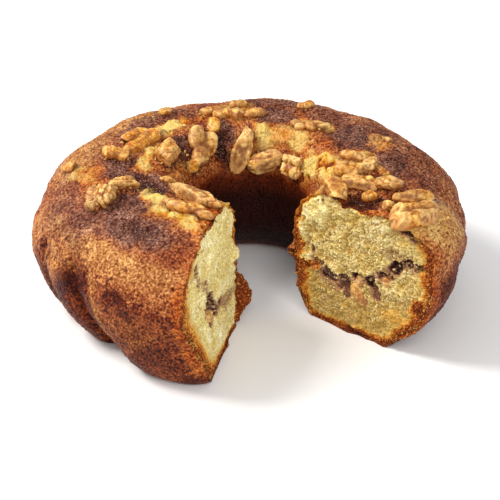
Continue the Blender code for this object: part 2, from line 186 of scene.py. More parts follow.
def petal_relief(azimuth, height):
    """How far the wall stands out on the petals and back in the valleys.

    Each petal is a bump swell * sqrt(1 - across^3). Heights up to VALLEY_DEPTH only fill
    the valleys, and what is higher stands out, more so near the foot. The front petal's
    left edge leans to the right by some degrees for each millimetre further down.
    """
    swell = stand_out = 0.0
    for petal in all_petals():
        lean = petal.get("lean", 0.0) * np.maximum(LEAN_TOP - height, 0) / 2
        across = np.minimum(np.abs(turn(azimuth - petal["centre"] - lean)) / (petal["half"] - lean), 1)
        bump = petal["swell"] * np.sqrt(1 - across ** 3)
        swell = np.maximum(swell, bump)
        low = np.maximum(bump - VALLEY_DEPTH, 0) * (1 - smooth(height, *petal["fade"]))
        stand_out = np.maximum(stand_out, low)
    return stand_out + np.minimum(swell - VALLEY_DEPTH, 0) * (1 - smooth(height, *VALLEY_FADE))


def cut_left_azimuth(height):
    """Azimuth of the left cut, which leans back by a few degrees towards its top."""
    return CUT_LEFT - CUT_LEFT_LEAN * smooth(height, 0, LEAN_HEIGHT)


def place(azimuth, radius, height):
    """Points from azimuth, ring radius and height: x = r cos a, y = r sin a, plus the ring's middle."""
    angle, level = np.radians(azimuth + 0 * radius), height + 0 * azimuth
    return np.stack([RING_X + radius * np.cos(angle), RING_Y + radius * np.sin(angle), level], axis=-1)


def polar(points):
    """Ring radius and azimuth of points, from the ring's middle."""
    x, y = points[..., 0] - RING_X, points[..., 1] - RING_Y
    return np.hypot(x, y), np.degrees(np.arctan2(y, x))


print("petals:", len(all_petals()))

# %% The section


def quarter(run, width, height, power=None):
    """Shares cos(a)^(2/p) and sin(a)^(2/p) at points that lie evenly along a superellipse's quarter."""
    angle = np.linspace(0, np.pi / 2, 600)
    steps = np.hypot(np.diff(width * np.cos(angle) ** (2 / POWERS[run])),
                     np.diff(height * np.sin(angle) ** (2 / POWERS[run])))
    length = np.concatenate([[0], np.cumsum(steps)])
    angle = np.interp(np.linspace(0, length[-1], SECTION_POINTS[run] + 1)[:-1], length, angle)
    power = POWERS[run] if power is None else power
    return np.cos(angle) ** (2 / power), np.sin(angle) ** (2 / power)


def section(azimuth):
    """The closed section at each azimuth, as arrays of ring radius and height."""
    azimuth = np.asarray(azimuth, float)[:, None]
    back = np.sin(np.radians(azimuth))
    boxy = 1 - smooth(np.abs(turn(azimuth - CUT_RIGHT)), *BOXY_SPREAD)
    top = TOP_FRONT + (TOP_BACK - TOP_FRONT) * smooth(back, *TOP_TILT)
    rim = RIM_RADIUS + BOXY["rim"] * boxy
    rim_height = RIM_HEIGHT + BOXY["rim_height"] * boxy
    shoulder = SHOULDER_RADIUS + BOXY["shoulder"] * boxy
    hole = HOLE_RADIUS + HOLE_SWING * back
    hole_low = hole + HOLE_TAPER
    hole_foot = HOLE_FOOT_RADIUS + HOLE_FOOT_SWING * back
    foot_run, top_run, hole_run = (np.linspace(0, 1, SECTION_POINTS[run], endpoint=False)
                                   for run in ("foot", "top", "hole"))
    wall_cos, wall_sin = quarter("wall", RIM_HEIGHT, RIM_RADIUS - FOOT_RADIUS)
    shoulder_cos, shoulder_sin = quarter("shoulder", RIM_RADIUS - SHOULDER_RADIUS, TOP_BACK - RIM_HEIGHT,
                                         POWERS["shoulder"] + BOXY["power"] * boxy)
    edge_cos, edge_sin = quarter("edge", TOP_FRONT - INNER_EDGE_DROP, INNER_EDGE_RADIUS - HOLE_RADIUS)
    foot_cos, foot_sin = quarter("inner_foot", HOLE_FOOT_RADIUS - HOLE_RADIUS, INNER_FOOT_HEIGHT)
    runs = (
        (hole_foot + (FOOT_RADIUS - hole_foot) * foot_run, 0 * foot_run),
        (FOOT_RADIUS + (rim - FOOT_RADIUS) * wall_sin, rim_height * (1 - wall_cos)),
        (shoulder + (rim - shoulder) * shoulder_cos, rim_height + (top - rim_height) * shoulder_sin),
        (shoulder + (INNER_EDGE_RADIUS - shoulder) * top_run, top - TOP_SAG * np.sin(np.pi * top_run)),
        (INNER_EDGE_RADIUS - (INNER_EDGE_RADIUS - hole) * edge_sin,
         INNER_EDGE_DROP + (top - INNER_EDGE_DROP) * edge_cos),
        (hole + (hole_low - hole) * hole_run,
         INNER_EDGE_DROP + (INNER_FOOT_HEIGHT - INNER_EDGE_DROP) * hole_run),
        (hole_low + (hole_foot - hole_low) * (1 - foot_cos), INNER_FOOT_HEIGHT * (1 - foot_sin)),
    )
    radius, height = (np.concatenate([part + 0 * azimuth for part in parts], axis=1) for parts in zip(*runs))
    radius = radius + petal_relief(azimuth, height) * smooth(radius, *ON_WALL)
    radius = radius - WORN_CORNER * boxy * (1 - smooth(height, *WORN_FADE)) * smooth(radius, *ON_WALL)
    crease = CREASE["depth"] * np.exp(-((height - CREASE["height"]) / CREASE["spread"]) ** 2)
    return radius - crease * smooth(radius, *CREASE["rings"]) * (1 - CREASE["boxy"] * boxy), height


def grid_normals(points):
    """Outward unit normals of a grid whose loops are closed: the cross product of its two steps."""
    along = np.gradient(points, axis=0)
    across = np.roll(points, -1, axis=1) - np.roll(points, 1, axis=1)
    normal = np.cross(along, across)
    return normal / np.linalg.norm(normal, axis=-1, keepdims=True)


def ring_points(share):
    """The cake's outside at shares of the way from the right cut to the left cut."""
    radius, height = section(CUT_RIGHT + (CUT_LEFT - CUT_RIGHT) * share)
    azimuth = CUT_RIGHT + (cut_left_azimuth(height) - CUT_RIGHT) * share[:, None]
    for where, level, proud, spread, spread_up in CRAGS:
        near = np.exp(-(turn(azimuth - where) / spread) ** 2 - ((height - level) / spread_up) ** 2)
        radius = radius - proud * near * (1 - smooth(radius, *CRAG_RINGS))
    points = place(azimuth, radius, height)
    lump = layered(points, LUMPS)
    for where, spread, size in BULGES:
        near = np.exp(-(turn(azimuth - where) / spread) ** 2) * smooth(radius, *BULGE_RINGS)
        lump = lump + size * near * smooth(height, *BULGE_HEIGHTS)
    lump = lump * smooth(height, *LUMP_FADE)
    return points + grid_normals(points) * lump[..., None]


def cut_inward(side, points):
    """Unit direction into the cake at a cut: along the ring, away from the gap."""
    angle = np.radians(polar(points)[1])
    way = 1 if side == "right" else -1
    return way * np.stack([-np.sin(angle), np.cos(angle), 0 * angle], axis=-1)


ARCS = ["crust_" + part for part in ("right", "back_right", "back", "back_left", "left", "front_left")]
ARC_ROWS = 190
SHARE = np.linspace(0, 1, len(ARCS) * ARC_ROWS + 1)
ring = ring_points(SHARE)
print("points on the ring:", ring.shape[:2], "box:", ring.min(axis=(0, 1)).round(1),
      ring.max(axis=(0, 1)).round(1))

# %% [markdown]
# ## Where the walnut pieces lie
#
# The crust rises in a dark collar round each walnut piece, darkened partly by pooled caramel
# and partly as painted contact shadow, so the places of the pieces are needed before the
# crust is made. Each row gives a form, a place on the ring, a heading and a size. The
# surface there gives the point and the direction that is up.

# %% Walnut places
WALNUT_SINK = 0.2
WALNUTS = (
    ("bean", 176, 100.5, 138, 15, 7, 6),
    ("bean", 157, 71.5, 36, 17, 8, 7),
    ("pair", 162, 64.5, 42, 25, 8.5, 8),
    ("pair", 175, 75.5, 170, 14, 9, 8),
    ("fluted", -152.5, 87.5, 80, 17, 15, 10),
    ("rough", -157.5, 75, 24, 16, 9, 7),
    ("chunk", 169, 48, -80, 18, 13, 11),
    ("heart", 139.5, 40, -70, 25, 16, 9),
    ("chunk", 98, 37, -97, 26, 10, 9),
    ("chunk", 75, 35, 10, 20, 13, 10),
    ("chunk", -125, 50, -46, 33, 11, 9),
    ("curl", -120.5, 65, -27, 30, 9, 7),
    ("bean", 161, 37, 30, 8, 7, 7),
    ("bean", -160, 48, 20, 9, 5, 4),
    ("bean", 130, 78.5, 31, 8, 5, 5),
    ("bean", 117, 48.5, -97, 9, 7, 7),
    ("bean", 113, 67, 36, 8, 6, 5),
    ("pair", 106.5, 60, 28, 10, 7, 6),
    ("bean", 98.5, 56, 30, 8, 7, 7),
    ("pair", 88, 58, 30, 14, 7, 6),
    ("pair", 96, 74, 18, 10, 5, 5),
    ("pair", 65, 77, 14, 10, 5, 5),
    ("cluster", 51.5, 53.5, -10, 20, 10, 6),
    ("rough", 44, 35, -39, 15, 12, 8),
    ("bean", 5, 57, -10, 13, 7, 6),
    ("half", -13, 55, -14, 15, 10, 8),
    ("chunk", -4, 65, 40, 13, 8, 7),
    ("chunk", -36, 55.5, 80, 18, 13, 9),
    ("half", -22.5, 63, -8, 18, 9, 8),
    ("chunk", -18.5, 78, -20, 14, 11, 8),
    ("bean", -30.5, 73.5, 20, 8, 6, 6),
    ("bean", -34, 87, 60, 8, 6, 6),
    ("chunk", -25, 95, 18, 23, 8, 8),
    ("rough", -35, 103.5, 20, 27, 16, 11),
    ("bean", 18, 80, -20, 7, 4, 4),
)

normals = grid_normals(ring)


def between(values, where):
    """Blend neighbouring rows at a fractional index."""
    first = min(int(where), len(values) - 2)
    part = where - first
    return values[first] * (1 - part) + values[first + 1] * part


def surface_at(azimuth, radius):
    """Point and outward normal on the cake's upper side at an azimuth and ring radius."""
    row = (azimuth - CUT_RIGHT) % 360 / (cut_left_azimuth(TOP_FRONT) - CUT_RIGHT) * (len(ring) - 1)
    points = between(ring, row)
    directions = between(normals, row)
    first = SECTION_POINTS["foot"] + SECTION_POINTS["wall"]
    last = first + SECTION_POINTS["shoulder"] + SECTION_POINTS["top"] + SECTION_POINTS["edge"]
    upper = np.arange(first, last + 1)
    column = np.interp(-radius, -polar(points)[0][upper], upper)
    normal = between(directions, column)
    return between(points, column), normal / np.linalg.norm(normal)


def walnut_seat(azimuth, radius, heading, height):
    """Middle of a piece and its axes: along its heading, sideways, and up from the crust."""
    point, normal = surface_at(azimuth, radius)
    angle = np.radians(heading)
    along = np.array([np.cos(angle), np.sin(angle), 0.0])
    along = along - normal * (along @ normal)
    along = along / np.linalg.norm(along)
    return point + normal * height * (0.5 - WALNUT_SINK), (along, np.cross(normal, along), normal)


SEATS = [walnut_seat(row[1], row[2], row[3], row[6]) for row in WALNUTS]
print("walnut seats:", len(SEATS))

# %% [markdown]
# ## Meshes from grids
#
# Every piece below is a tube: rows of closed loops, with each end closed to a point or a
# seam. One helper turns such rows into faces that look outwards, and stores a number per
# vertex for each mark that a material reads later, such as how browned a spot is.

# %% Grids into meshes


def tube_faces(rows, columns):
    """Quads between neighbouring loops of a tube, wound so that they look outwards."""
    index = np.arange(rows * columns).reshape(rows, columns)
    after = np.roll(index, -1, axis=1)
    return np.stack([index[:-1], index[1:], after[1:], after[:-1]], axis=-1).reshape(-1, 4)


def fan_caps(rows, columns):
    """Triangles that close both ends of a tube to a point each; the two points come after the grid."""
    first = np.arange(columns)
    last = first + (rows - 1) * columns
    tip = rows * columns
    start = np.stack([first, np.roll(first, -1), np.full(columns, tip)], axis=-1)
    end = np.stack([np.roll(last, -1), last, np.full(columns, tip + 1)], axis=-1)
    return np.concatenate([start, end])


BOX_GAP = 0.05 * MM


def make_piece(name, points, faces, finish, marks, nodes=()):
    """A mesh that rides on the cake, from points in millimetres; each mark is a number per vertex."""
    points = np.clip(points * MM, CAD_LOW + BOX_GAP, CAD_HIGH - BOX_GAP)
    points[:, 2] = np.maximum(points[:, 2], 0)
    mesh = bpy.data.meshes.new(name)
    mesh.vertices.add(len(points))
    mesh.vertices.foreach_set("co", points.astype(np.float32).ravel())
    corners = np.concatenate([group.ravel() for group in faces])
    sizes = np.concatenate([np.full(len(group), group.shape[1]) for group in faces])
    mesh.loops.add(len(corners))
    mesh.loops.foreach_set("vertex_index", corners.astype(np.int32))
    mesh.polygons.add(len(sizes))
    mesh.polygons.foreach_set("loop_start", (np.cumsum(sizes) - sizes).astype(np.int32))
    mesh.update(calc_edges=True)
    mesh.polygons.foreach_set("use_smooth", np.ones(len(sizes), bool))
    for mark, values in marks.items():
        layer = mesh.attributes.new(mark, "FLOAT", "POINT")
        layer.data.foreach_set("value", np.broadcast_to(values, len(points)).astype(np.float32).ravel())
    mesh.materials.append(finish)
    piece = bpy.data.objects.new(name, mesh)
    bpy.context.scene.collection.objects.link(piece)
    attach(piece, "root")
    if nodes:
        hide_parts(*nodes)
    return piece


def make_tube(name, loops, finish, marks, nodes=()):
    """A tube of loops closed to a point at each end; a tip takes the mean of its loop."""
    rows, columns = loops.shape[:2]
    points = np.concatenate([loops.reshape(-1, 3), [loops[0].mean(axis=0), loops[-1].mean(axis=0)]])
    faces = [tube_faces(rows, columns), fan_caps(rows, columns)]
    full = {}
    for mark, values in marks.items():
        values = np.broadcast_to(values, (rows, columns))
        full[mark] = np.concatenate([values.ravel(), [values[0].mean(), values[-1].mean()]])
    return make_piece(name, points, faces, finish, full, nodes)


print("rows in one arc:", ARC_ROWS + 1)

# %% [markdown]
# ## Finishes from nodes
#
# A finish is a Principled shader with nodes in front of it. Noise in Object coordinates
# gives speckle that stays put on the cake, and the marks stored on the mesh say where
# each colour lies. A small class keeps the node work short: it adds a node and joins its
# inputs, turns a noise into colours, and lays a colour over another by a share.

# %% Node helpers


def tone(red, green, blue):
    """A colour given on a 0 to 255 scale, as the linear values that shaders take."""
    values = np.array([red, green, blue]) / 255
    return (*np.where(values > 0.04045, ((values + 0.055) / 1.055) ** 2.4, values / 12.92), 1.0)


class Finish:
    """A material in the making: its nodes, and short ways to add more of them."""

    def __init__(self, name, roughness, specular):
        self.material = bpy.data.materials.new(name)
        self.material.use_nodes = True
        self.tree = self.material.node_tree
        self.shader = self.tree.nodes["Principled BSDF"]
        self.shader.inputs["Roughness"].default_value = roughness
        self.shader.inputs["Specular IOR Level"].default_value = specular

    def node(self, kind, inputs, **settings):
        """Add a shader node. An input is a plain value, or another node's output to join."""
        item = self.tree.nodes.new("ShaderNode" + kind)
        for key, value in settings.items():
            setattr(item, key, value)
        for key, value in inputs.items():
            if isinstance(value, bpy.types.NodeSocket):
                self.tree.links.new(value, item.inputs[key])
            else:
                item.inputs[key].default_value = value
        return item

    def calc(self, operation, first, second, third=0.0, clamp=False):
        """One sum, product or other step on numbers."""
        inputs = {0: first, 1: second, 2: third}
        return self.node("Math", inputs, operation=operation, use_clamp=clamp).outputs[0]

    def weighed(self, *parts, start=0.0):
        """Sum of numbers, each times its own weight."""
        for part, weight in parts:
            start = self.calc("MULTIPLY_ADD", part, weight, start)
        return start

    def mark(self, name, weight=1.0, clamp=False):
        """A number stored on the mesh, times a weight."""
        value = self.node("Attribute", {}, attribute_name=name).outputs["Fac"]
        return self.calc("MULTIPLY", value, weight, clamp=clamp)

    def place(self):
        """Each point's place in the object."""
        return self.node("TexCoord", {}).outputs["Object"]

    def speckle(self, size, detail=2.0, rough=0.6):
        """Noise from 0 to 1 whose blotches are about the given size in millimetres."""
        settings = {"Vector": self.place(), "Scale": 1 / (size * MM), "Detail": detail, "Roughness": rough}
        return self.node("TexNoise", settings).outputs["Fac"]

    def pebbled(self, size):
        """Pebbles of about the given size, round 0.5: more on top of each, less in the crevices."""
        where, scale = self.place(), 1 / (size * MM)
        stir = self.node("TexNoise", {"Vector": where, "Scale": 0.6 * scale}).outputs["Color"]
        moved = self.node("VectorMath", {0: stir, 1: (1.4 / scale,) * 3, 2: where}, operation="MULTIPLY_ADD")
        cell = self.node("TexVoronoi", {"Vector": moved.outputs[0], "Scale": scale}, feature="SMOOTH_F1")
        return self.calc("SUBTRACT", 0.8, cell.outputs["Distance"])

    def colours(self, share, *stops):
        """Colours along a share: each stop is a place and a colour from 0 to 255."""
        item = self.node("ValToRGB", {"Fac": share})
        for index, (where, *colour) in enumerate(stops):
            elements = item.color_ramp.elements
            stop = elements[index] if index < 2 else elements.new(where)
            stop.position, stop.color = where, tone(*colour)
        return item.outputs["Color"]

    def lay(self, share, under, over, blend="MIX"):
        """One colour laid over another by a share."""
        return self.node("Mix", {0: share, 6: under, 7: over}, data_type="RGBA", blend_type=blend).outputs[2]

    def done(self, colour, relief=None, strength=1.0, depth=0.0):
        """Join the colour and, as fine relief in the shading, a height of some millimetres."""
        self.tree.links.new(colour, self.shader.inputs["Base Color"])
        if relief is not None:
            bump = self.node("Bump", {"Height": relief, "Strength": strength, "Distance": depth * MM})
            self.tree.links.new(bump.outputs["Normal"], self.shader.inputs["Normal"])
        return self.material


print("golden crust as linear values:", np.round(tone(182, 116, 74), 3))

# %% [markdown]
# ## The crust
#
# The crust is golden where it stood against hot metal, dark red brown low down, and
# nearly purple where cinnamon sugar lies on top. The valleys between the petals are
# darkened further as painted shade, the hole is dark from browned crust and painted shade,
# and a painted highlight runs down the front petal's left edge. Pale batter has come up
# between the walnuts. Each of these is a mark: a share from 0 to 1 at every point, drawn
# as soft ellipses whose edges are pushed about by noise.

# %% Where cinnamon and batter show
# Rows of azimuth, ring radius or on the wall height, their half spreads, and strength
# dark patches on the wall: some are dark crust, and the rows round azimuths 216 and 222 are painted shade on
# the narrow petal's shadowed side and in the valleys beside it
WALL_STAINS_AND_SHADE = (
    (216, 29, 9, 21, 1), (238, 43, 9, 5, 0.85), (247, 38, 7, 9, 0.85), (256, 39, 4, 8, 0.8),
    (251, 12, 9, 6, 0.8), (240, 26, 6, 6, 0.5), (199, 45, 3, 8, 0.9), (-36, 22, 12, 22, 1),
    (-29, 40, 9, 11, 0.9), (203, 54, 3, 6, 0.4), (222, 28, 8, 15, 1), (244, 46, 12, 3, 0.9),
    (235, 48, 4, 4, 1), (250, 28, 7, 8, 0.9),
)
WALL_GOLD = ((189, 49, 6, 11, 0.9), (207, 50, 7, 12, 0.9), (240, 32, 6, 10, 0.3))
ZONES = {
    "light": (
        (-27, 111, 16, 15, 1), (168, 100, 14, 16, 0.45), (228, 112, 26, 8, 0.5), (204, 116, 16, 7, 0.5),
        (150, 92, 12, 10, 0.4), (134, 88, 14, 8, 0.6),
    ),
    "cinnamon": (
        (228, 91, 17, 11, 1), (216, 80, 9, 15, 1), (250, 88, 10, 7, 0.35), (211, 98, 9, 8, 0.75),
        (202, 109, 16, 13, 0.6), (184, 74, 12, 9, 1), (179, 66, 6, 5, 0.9), (202, 54, 13, 9, 1),
        (186, 102, 14, 8, 0.4), (167, 86, 14, 9, 0.25), (200, 66, 14, 8, 0.9), (256, 81, 6, 6, 0.9),
        (150, 44, 9, 8, 1), (114, 40, 6, 12, 0.9), (124, 76, 10, 7, 0.6), (-18, 101, 7, 4, 0.9),
        (0, 80, 15, 10, 0.9), (4, 96, 14, 10, 0.5), (28, 68, 16, 13, 1), (52, 76, 16, 9, 0.7),
        (78, 63, 11, 13, 0.9), (111, 47, 8, 9, 0.9), (140, 78, 24, 8, 0.75), (20, 86, 25, 10, 0.55),
        (80, 82, 24, 8, 0.8), (118, 74, 10, 8, 0.4),
    ),
    "sauce": (
        (247, 67.5, 8, 2.2, 1), (118, 36, 6, 5, 1), (158, 40, 6, 4, 1), (204, 60, 15, 6, 1),
        (235, 53.5, 24, 2.2, 0.9), (168, 46, 17, 4, 1), (155, 42, 8, 7, 1), (-33, 71, 9, 11, 1),
        (118, 42, 8, 6, 1), (92, 41, 4, 6, 1), (25, 55, 6, 3, 0.6), (-14, 70, 6, 3, 0.6),
        (240, 62, 6, 2, 0.5), (196, 66, 5, 4, 0.8), (158, 58, 5, 3, 0.5), (-26, 86, 6, 5, 0.8),
    ),
    "batter": (
        (218, 63, 13, 5.5, 1), (236, 70, 13, 10, 1), (247, 77, 6, 5, 0.9), (240, 46, 19, 5, 0.7),
        (208, 46, 12, 3, 0.7), (174, 58, 14, 5.5, 0.9), (153, 58.5, 10, 4.5, 0.9), (187, 89, 5, 5, 0.6),
        (199, 71, 4, 6, 0.6), (-33, 104, 9, 9, 0.55), (18, 77, 7, 6, 0.5), (53, 60, 10, 8, 0.8),
        (52, 45, 15, 6, 0.9), (3, 62, 12, 7, 0.7), (129, 64.5, 12, 4, 0.8), (-12, 48, 28, 6, 0.9),
        (22, 37, 14, 5, 1), (5, 43, 17, 6, 1), (17, 42, 8, 4, 1), (183, 95, 5, 4, 0.5), (98, 66, 9, 16, 0.6),
        (138, 62, 14, 8, 1), (75, 44, 14, 7, 0.9), (-9, 74, 5, 4, 0.6), (176, 42, 24, 5, 0.4),
    ),
    "orange": (
        (29, 48.5, 9, 4.5, 1), (73, 49, 8, 4, 1), (188, 88, 9, 8, 0.7), (18, 78, 8, 7, 0.6),
        (3, 60, 14, 8, 0.4), (118, 61, 10, 8, 0.8), (64, 43.5, 11, 4, 0.85), (100, 64, 8, 16, 0.5),
        (222, 58, 12, 3, 0.7), (228, 65, 5, 8, 0.7), (186, 42, 22, 4, 0.8), (247, 50, 12, 5, 0.6),
        (50, 53, 10, 4, 0.6),
    ),
}
EDGE_PUSH = 3
UPPER, ABOVE_BAND = (52, 66), (56, 68)
INNER = (44, 60)
LIP, LIP_LOW, LIP_WAVE = (52, 70), (42, 64), 3
FOOT, FOOT_WAVE, SOLE = (24, 47), 7, (1, 5)
RIDGE_PLACE, RIDGE_HALF = 1.6, 1.2
SEARED_WIDTH, SEARED_FOOT = 3, (6, 16)
PEELED, PEELED_SPREAD = (42, 52), 5
BARE_WIDTH, BARE = 2.2, (44, 52)
COLLAR_REACH = 1.1
GRAIN = ((4.5, 31, 0.08), (2.1, 32, 0.4, FOLD), (1.4, 33, 0.5, FOLD))
CLODS = ((3.2, 34, 1, FOLD), (1.7, 35, 0.6, FOLD))
BATTER_LUMPS = ((6.5, 37, 1), (4, 38, 0.7, FOLD))
PIT_EDGE = (0.45, 0.8)


def patches(across, up, rows, push=0, fade=(0.65, 1.3)):
    """Soft ellipses: the strength inside, falling to 0 round a distance of 1, their edges moved by push."""
    total = 0.0
    for middle, level, half_across, half_up, strength in rows:
        away = np.hypot(turn(across - middle) / half_across, (up - level) / half_up)
        total = np.maximum(total, strength * (1 - smooth(away + push, *fade)))
    return total


def crust_marks(points):
    """Shares of each finish: the zones on top, the hole as browned crust and painted shade, the darker foot,
    painted shade in the valleys, a painted highlight down the front petal's edge, and the seared cuts.
    """
    wide, fine = noise(points, 8, 21), noise(points, 3, 22)
    push_x, push_y = (wide + 0.6 * fine) * EDGE_PUSH, (noise(points, 7, 23) - 0.6 * fine) * EDGE_PUSH
    x, y, height = points[..., 0] - RING_X, points[..., 1] - RING_Y, points[..., 2]
    rings, azimuth = polar(points)
    pushed_rings = np.hypot(x + push_x, y + push_y)
    pushed_azimuth = np.degrees(np.arctan2(y + push_y, x + push_x))
    upper = smooth(height, *UPPER)
    inner, outer = 1 - smooth(rings, *INNER), smooth(rings, *ON_WALL)
    shares = {kind: patches(pushed_azimuth, pushed_rings, rows) * upper for kind, rows in ZONES.items()}

    def more(kind, values):
        shares[kind] = np.maximum(shares[kind], values)

    def less(kind, values):
        shares[kind] = shares[kind] * (1 - values)

    edge = np.clip(4 * shares["batter"] * (1 - shares["batter"]), 0, 1) * smooth(fine + wide, -0.4, 0.4)
    more("orange", 0.8 * edge * (1 - outer))
    less("cinnamon", 0.7 * shares["batter"])
    lip = height + wide * LIP_WAVE
    # the hole's mark is partly browned crust and partly painted shade, nearly black deep inside
    shares["hole"] = inner * (2 - smooth(lip, *LIP) - smooth(lip, *LIP_LOW))
    golden = patches(pushed_azimuth, height, WALL_GOLD)
    more("light", 0.5 * golden)
    more("orange", 0.45 * golden)

    foot = (0.88 - 0.8 * golden) * (1 - smooth(height + (wide + 0.5 * fine) * FOOT_WAVE, *FOOT))
    stains_and_shade = patches(pushed_azimuth, height + fine * 2, WALL_STAINS_AND_SHADE)
    # painted shade: the petals' valleys are darkened below the top
    valley_shade = smooth(-petal_relief(azimuth, height), 0.5, 4) * (1 - upper)
    # painted highlight: a lighter line down the front petal's left edge, where the low brown is also thinned
    ridge_highlight = turn(azimuth - FRONT_PETAL["centre"] + FRONT_PETAL["half"] - RIDGE_PLACE
                 - FRONT_PETAL["lean"] * np.maximum(LEAN_TOP - height, 0))
    ridge_highlight = np.exp(-(ridge_highlight / RIDGE_HALF) ** 2) * smooth(height, 4, 10) * (1 - upper)
    shares["low"] = outer * np.maximum(np.maximum(foot, stains_and_shade), valley_shade) * (1 - 0.75 * ridge_highlight)
    more("low", 0.9 * (1 - smooth(height + fine * 1.5, *SOLE)))
    more("light", 0.35 * ridge_highlight)

    from_cut = np.minimum(np.abs(turn(azimuth - CUT_RIGHT)), np.abs(turn(azimuth - cut_left_azimuth(height))))
    from_cut = np.radians(from_cut) * rings
    seared = 1 - smooth(from_cut + wide * 1.5, 0.6 * SEARED_WIDTH, 2.6 * SEARED_WIDTH)
    seared = seared * smooth(height + wide * 4, *SEARED_FOOT) * (0.8 + 0.4 * fine)
    seared = (seared * (1 - 0.6 * outer * smooth(height, *ABOVE_BAND))).clip(0, 1)
    less("low", 0.8 * seared)
    shares["seared"] = seared * (1 - inner)
    more("orange", seared * inner)
    peeled = np.exp(-np.maximum(turn(azimuth - CUT_RIGHT), 0) / PEELED_SPREAD)
    peeled = peeled * (1 - smooth(height + wide * 4, *PEELED))
    less("hole", 0.85 * np.maximum(peeled, 1.1 * seared))
    more("orange", inner * peeled * smooth(fine, -0.5, 0.3))
    shares["bare"] = np.exp(-from_cut / BARE_WIDTH) * inner * smooth(height, *BARE)
    less("hole", shares["bare"])
    less("orange", 0.6 * shares["bare"])
    return shares


def walnut_collars(points):
    """1 close round a walnut piece, and exp(-gap / reach) outside it."""
    total = 0.0
    for (middle, axes), (*_, length, width, height) in zip(SEATS, WALNUTS):
        half = np.array([length, width, 1.6 * height]) / 2
        away = np.linalg.norm(((points - middle) @ np.array(axes).T) / half, axis=-1)
        gap = (away - 1) * width / 2
        total = np.maximum(total, np.exp(-np.maximum(gap, 0) / COLLAR_REACH))
    return total


def crust_relief(points, marks):
    """Grain on the crust in millimetres: noise at several sizes, rougher in cinnamon, raised in batter."""
    clods = layered(points, CLODS) - 0.5
    pits = smooth(noise(points, 5, 36), *PIT_EDGE)
    rough = np.maximum(marks["cinnamon"], np.maximum(0.6 * marks["batter"], marks["sauce"]))
    raised = marks["batter"] * (1 + 2.2 * layered(points, BATTER_LUMPS)) + 1.1 * marks["collar"]
    raised = raised - 0.9 * pits * rough - 0.7 * marks["sauce"]
    return layered(points, GRAIN) + 0.7 * clods * rough + raised - 0.6


marks = crust_marks(ring)
# collar: pooled caramel and painted contact shadow round each walnut
marks["collar"] = walnut_collars(ring)
relief = crust_relief(ring, marks) * smooth(ring[..., 2], 0.5, 6)
crust = ring + normals * relief[..., None]
# the relief's height; the crust's finish turns it into painted shade in the low places
marks["lift"] = np.clip(0.5 + relief / 2, 0, 1)
marks["batter"] = np.maximum(marks["batter"], marks.pop("bare"))
print("share of the crust under cinnamon:", marks["cinnamon"].mean().round(3), "relief in mm:",
      relief.min().round(2), relief.max().round(2))

# %% Ragged edges at the cuts
CUT_ROW = {"right": 0, "left": -1}
RAGGED_ROWS = 12
SPUR = {"height": 39.5, "half_up": 2.0, "proud": 4.5, "reach": 40}
for side, rows in (("right", np.arange(RAGGED_ROWS)), ("left", -1 - np.arange(RAGGED_ROWS))):
    edge = crust[rows]
    rim, level = edge[:1], edge[:1, :, 2]
    fade = (1 - np.arange(RAGGED_ROWS) / RAGGED_ROWS)[:, None]
    out = 1.4 * np.maximum(noise(rim, 2.0, 95) + 0.3, 0)
    out = out + 1.8 * np.maximum(noise(rim, 3.5, 97), 0) * (1 - smooth(level, 38, 48))
    if side == "right":
        spur = np.exp(-((level - SPUR["height"]) / SPUR["half_up"]) ** 2)
        out = out + SPUR["proud"] * spur * (polar(rim)[0] < SPUR["reach"])
    sideways = 0.8 * noise(rim, 2.4, 96) * smooth(level, 1, 4)
    shift = -cut_inward(side, edge) * out[..., None] + normals[rows] * sideways[..., None]
    crust[rows] = edge + shift * fade[..., None]
    print("the edge at the cut on the", side, "stands out by up to", out.max().round(1), "mm")

# %% The crust's finish
# A coat has a mark and its weight, the share its colours follow, and their stops


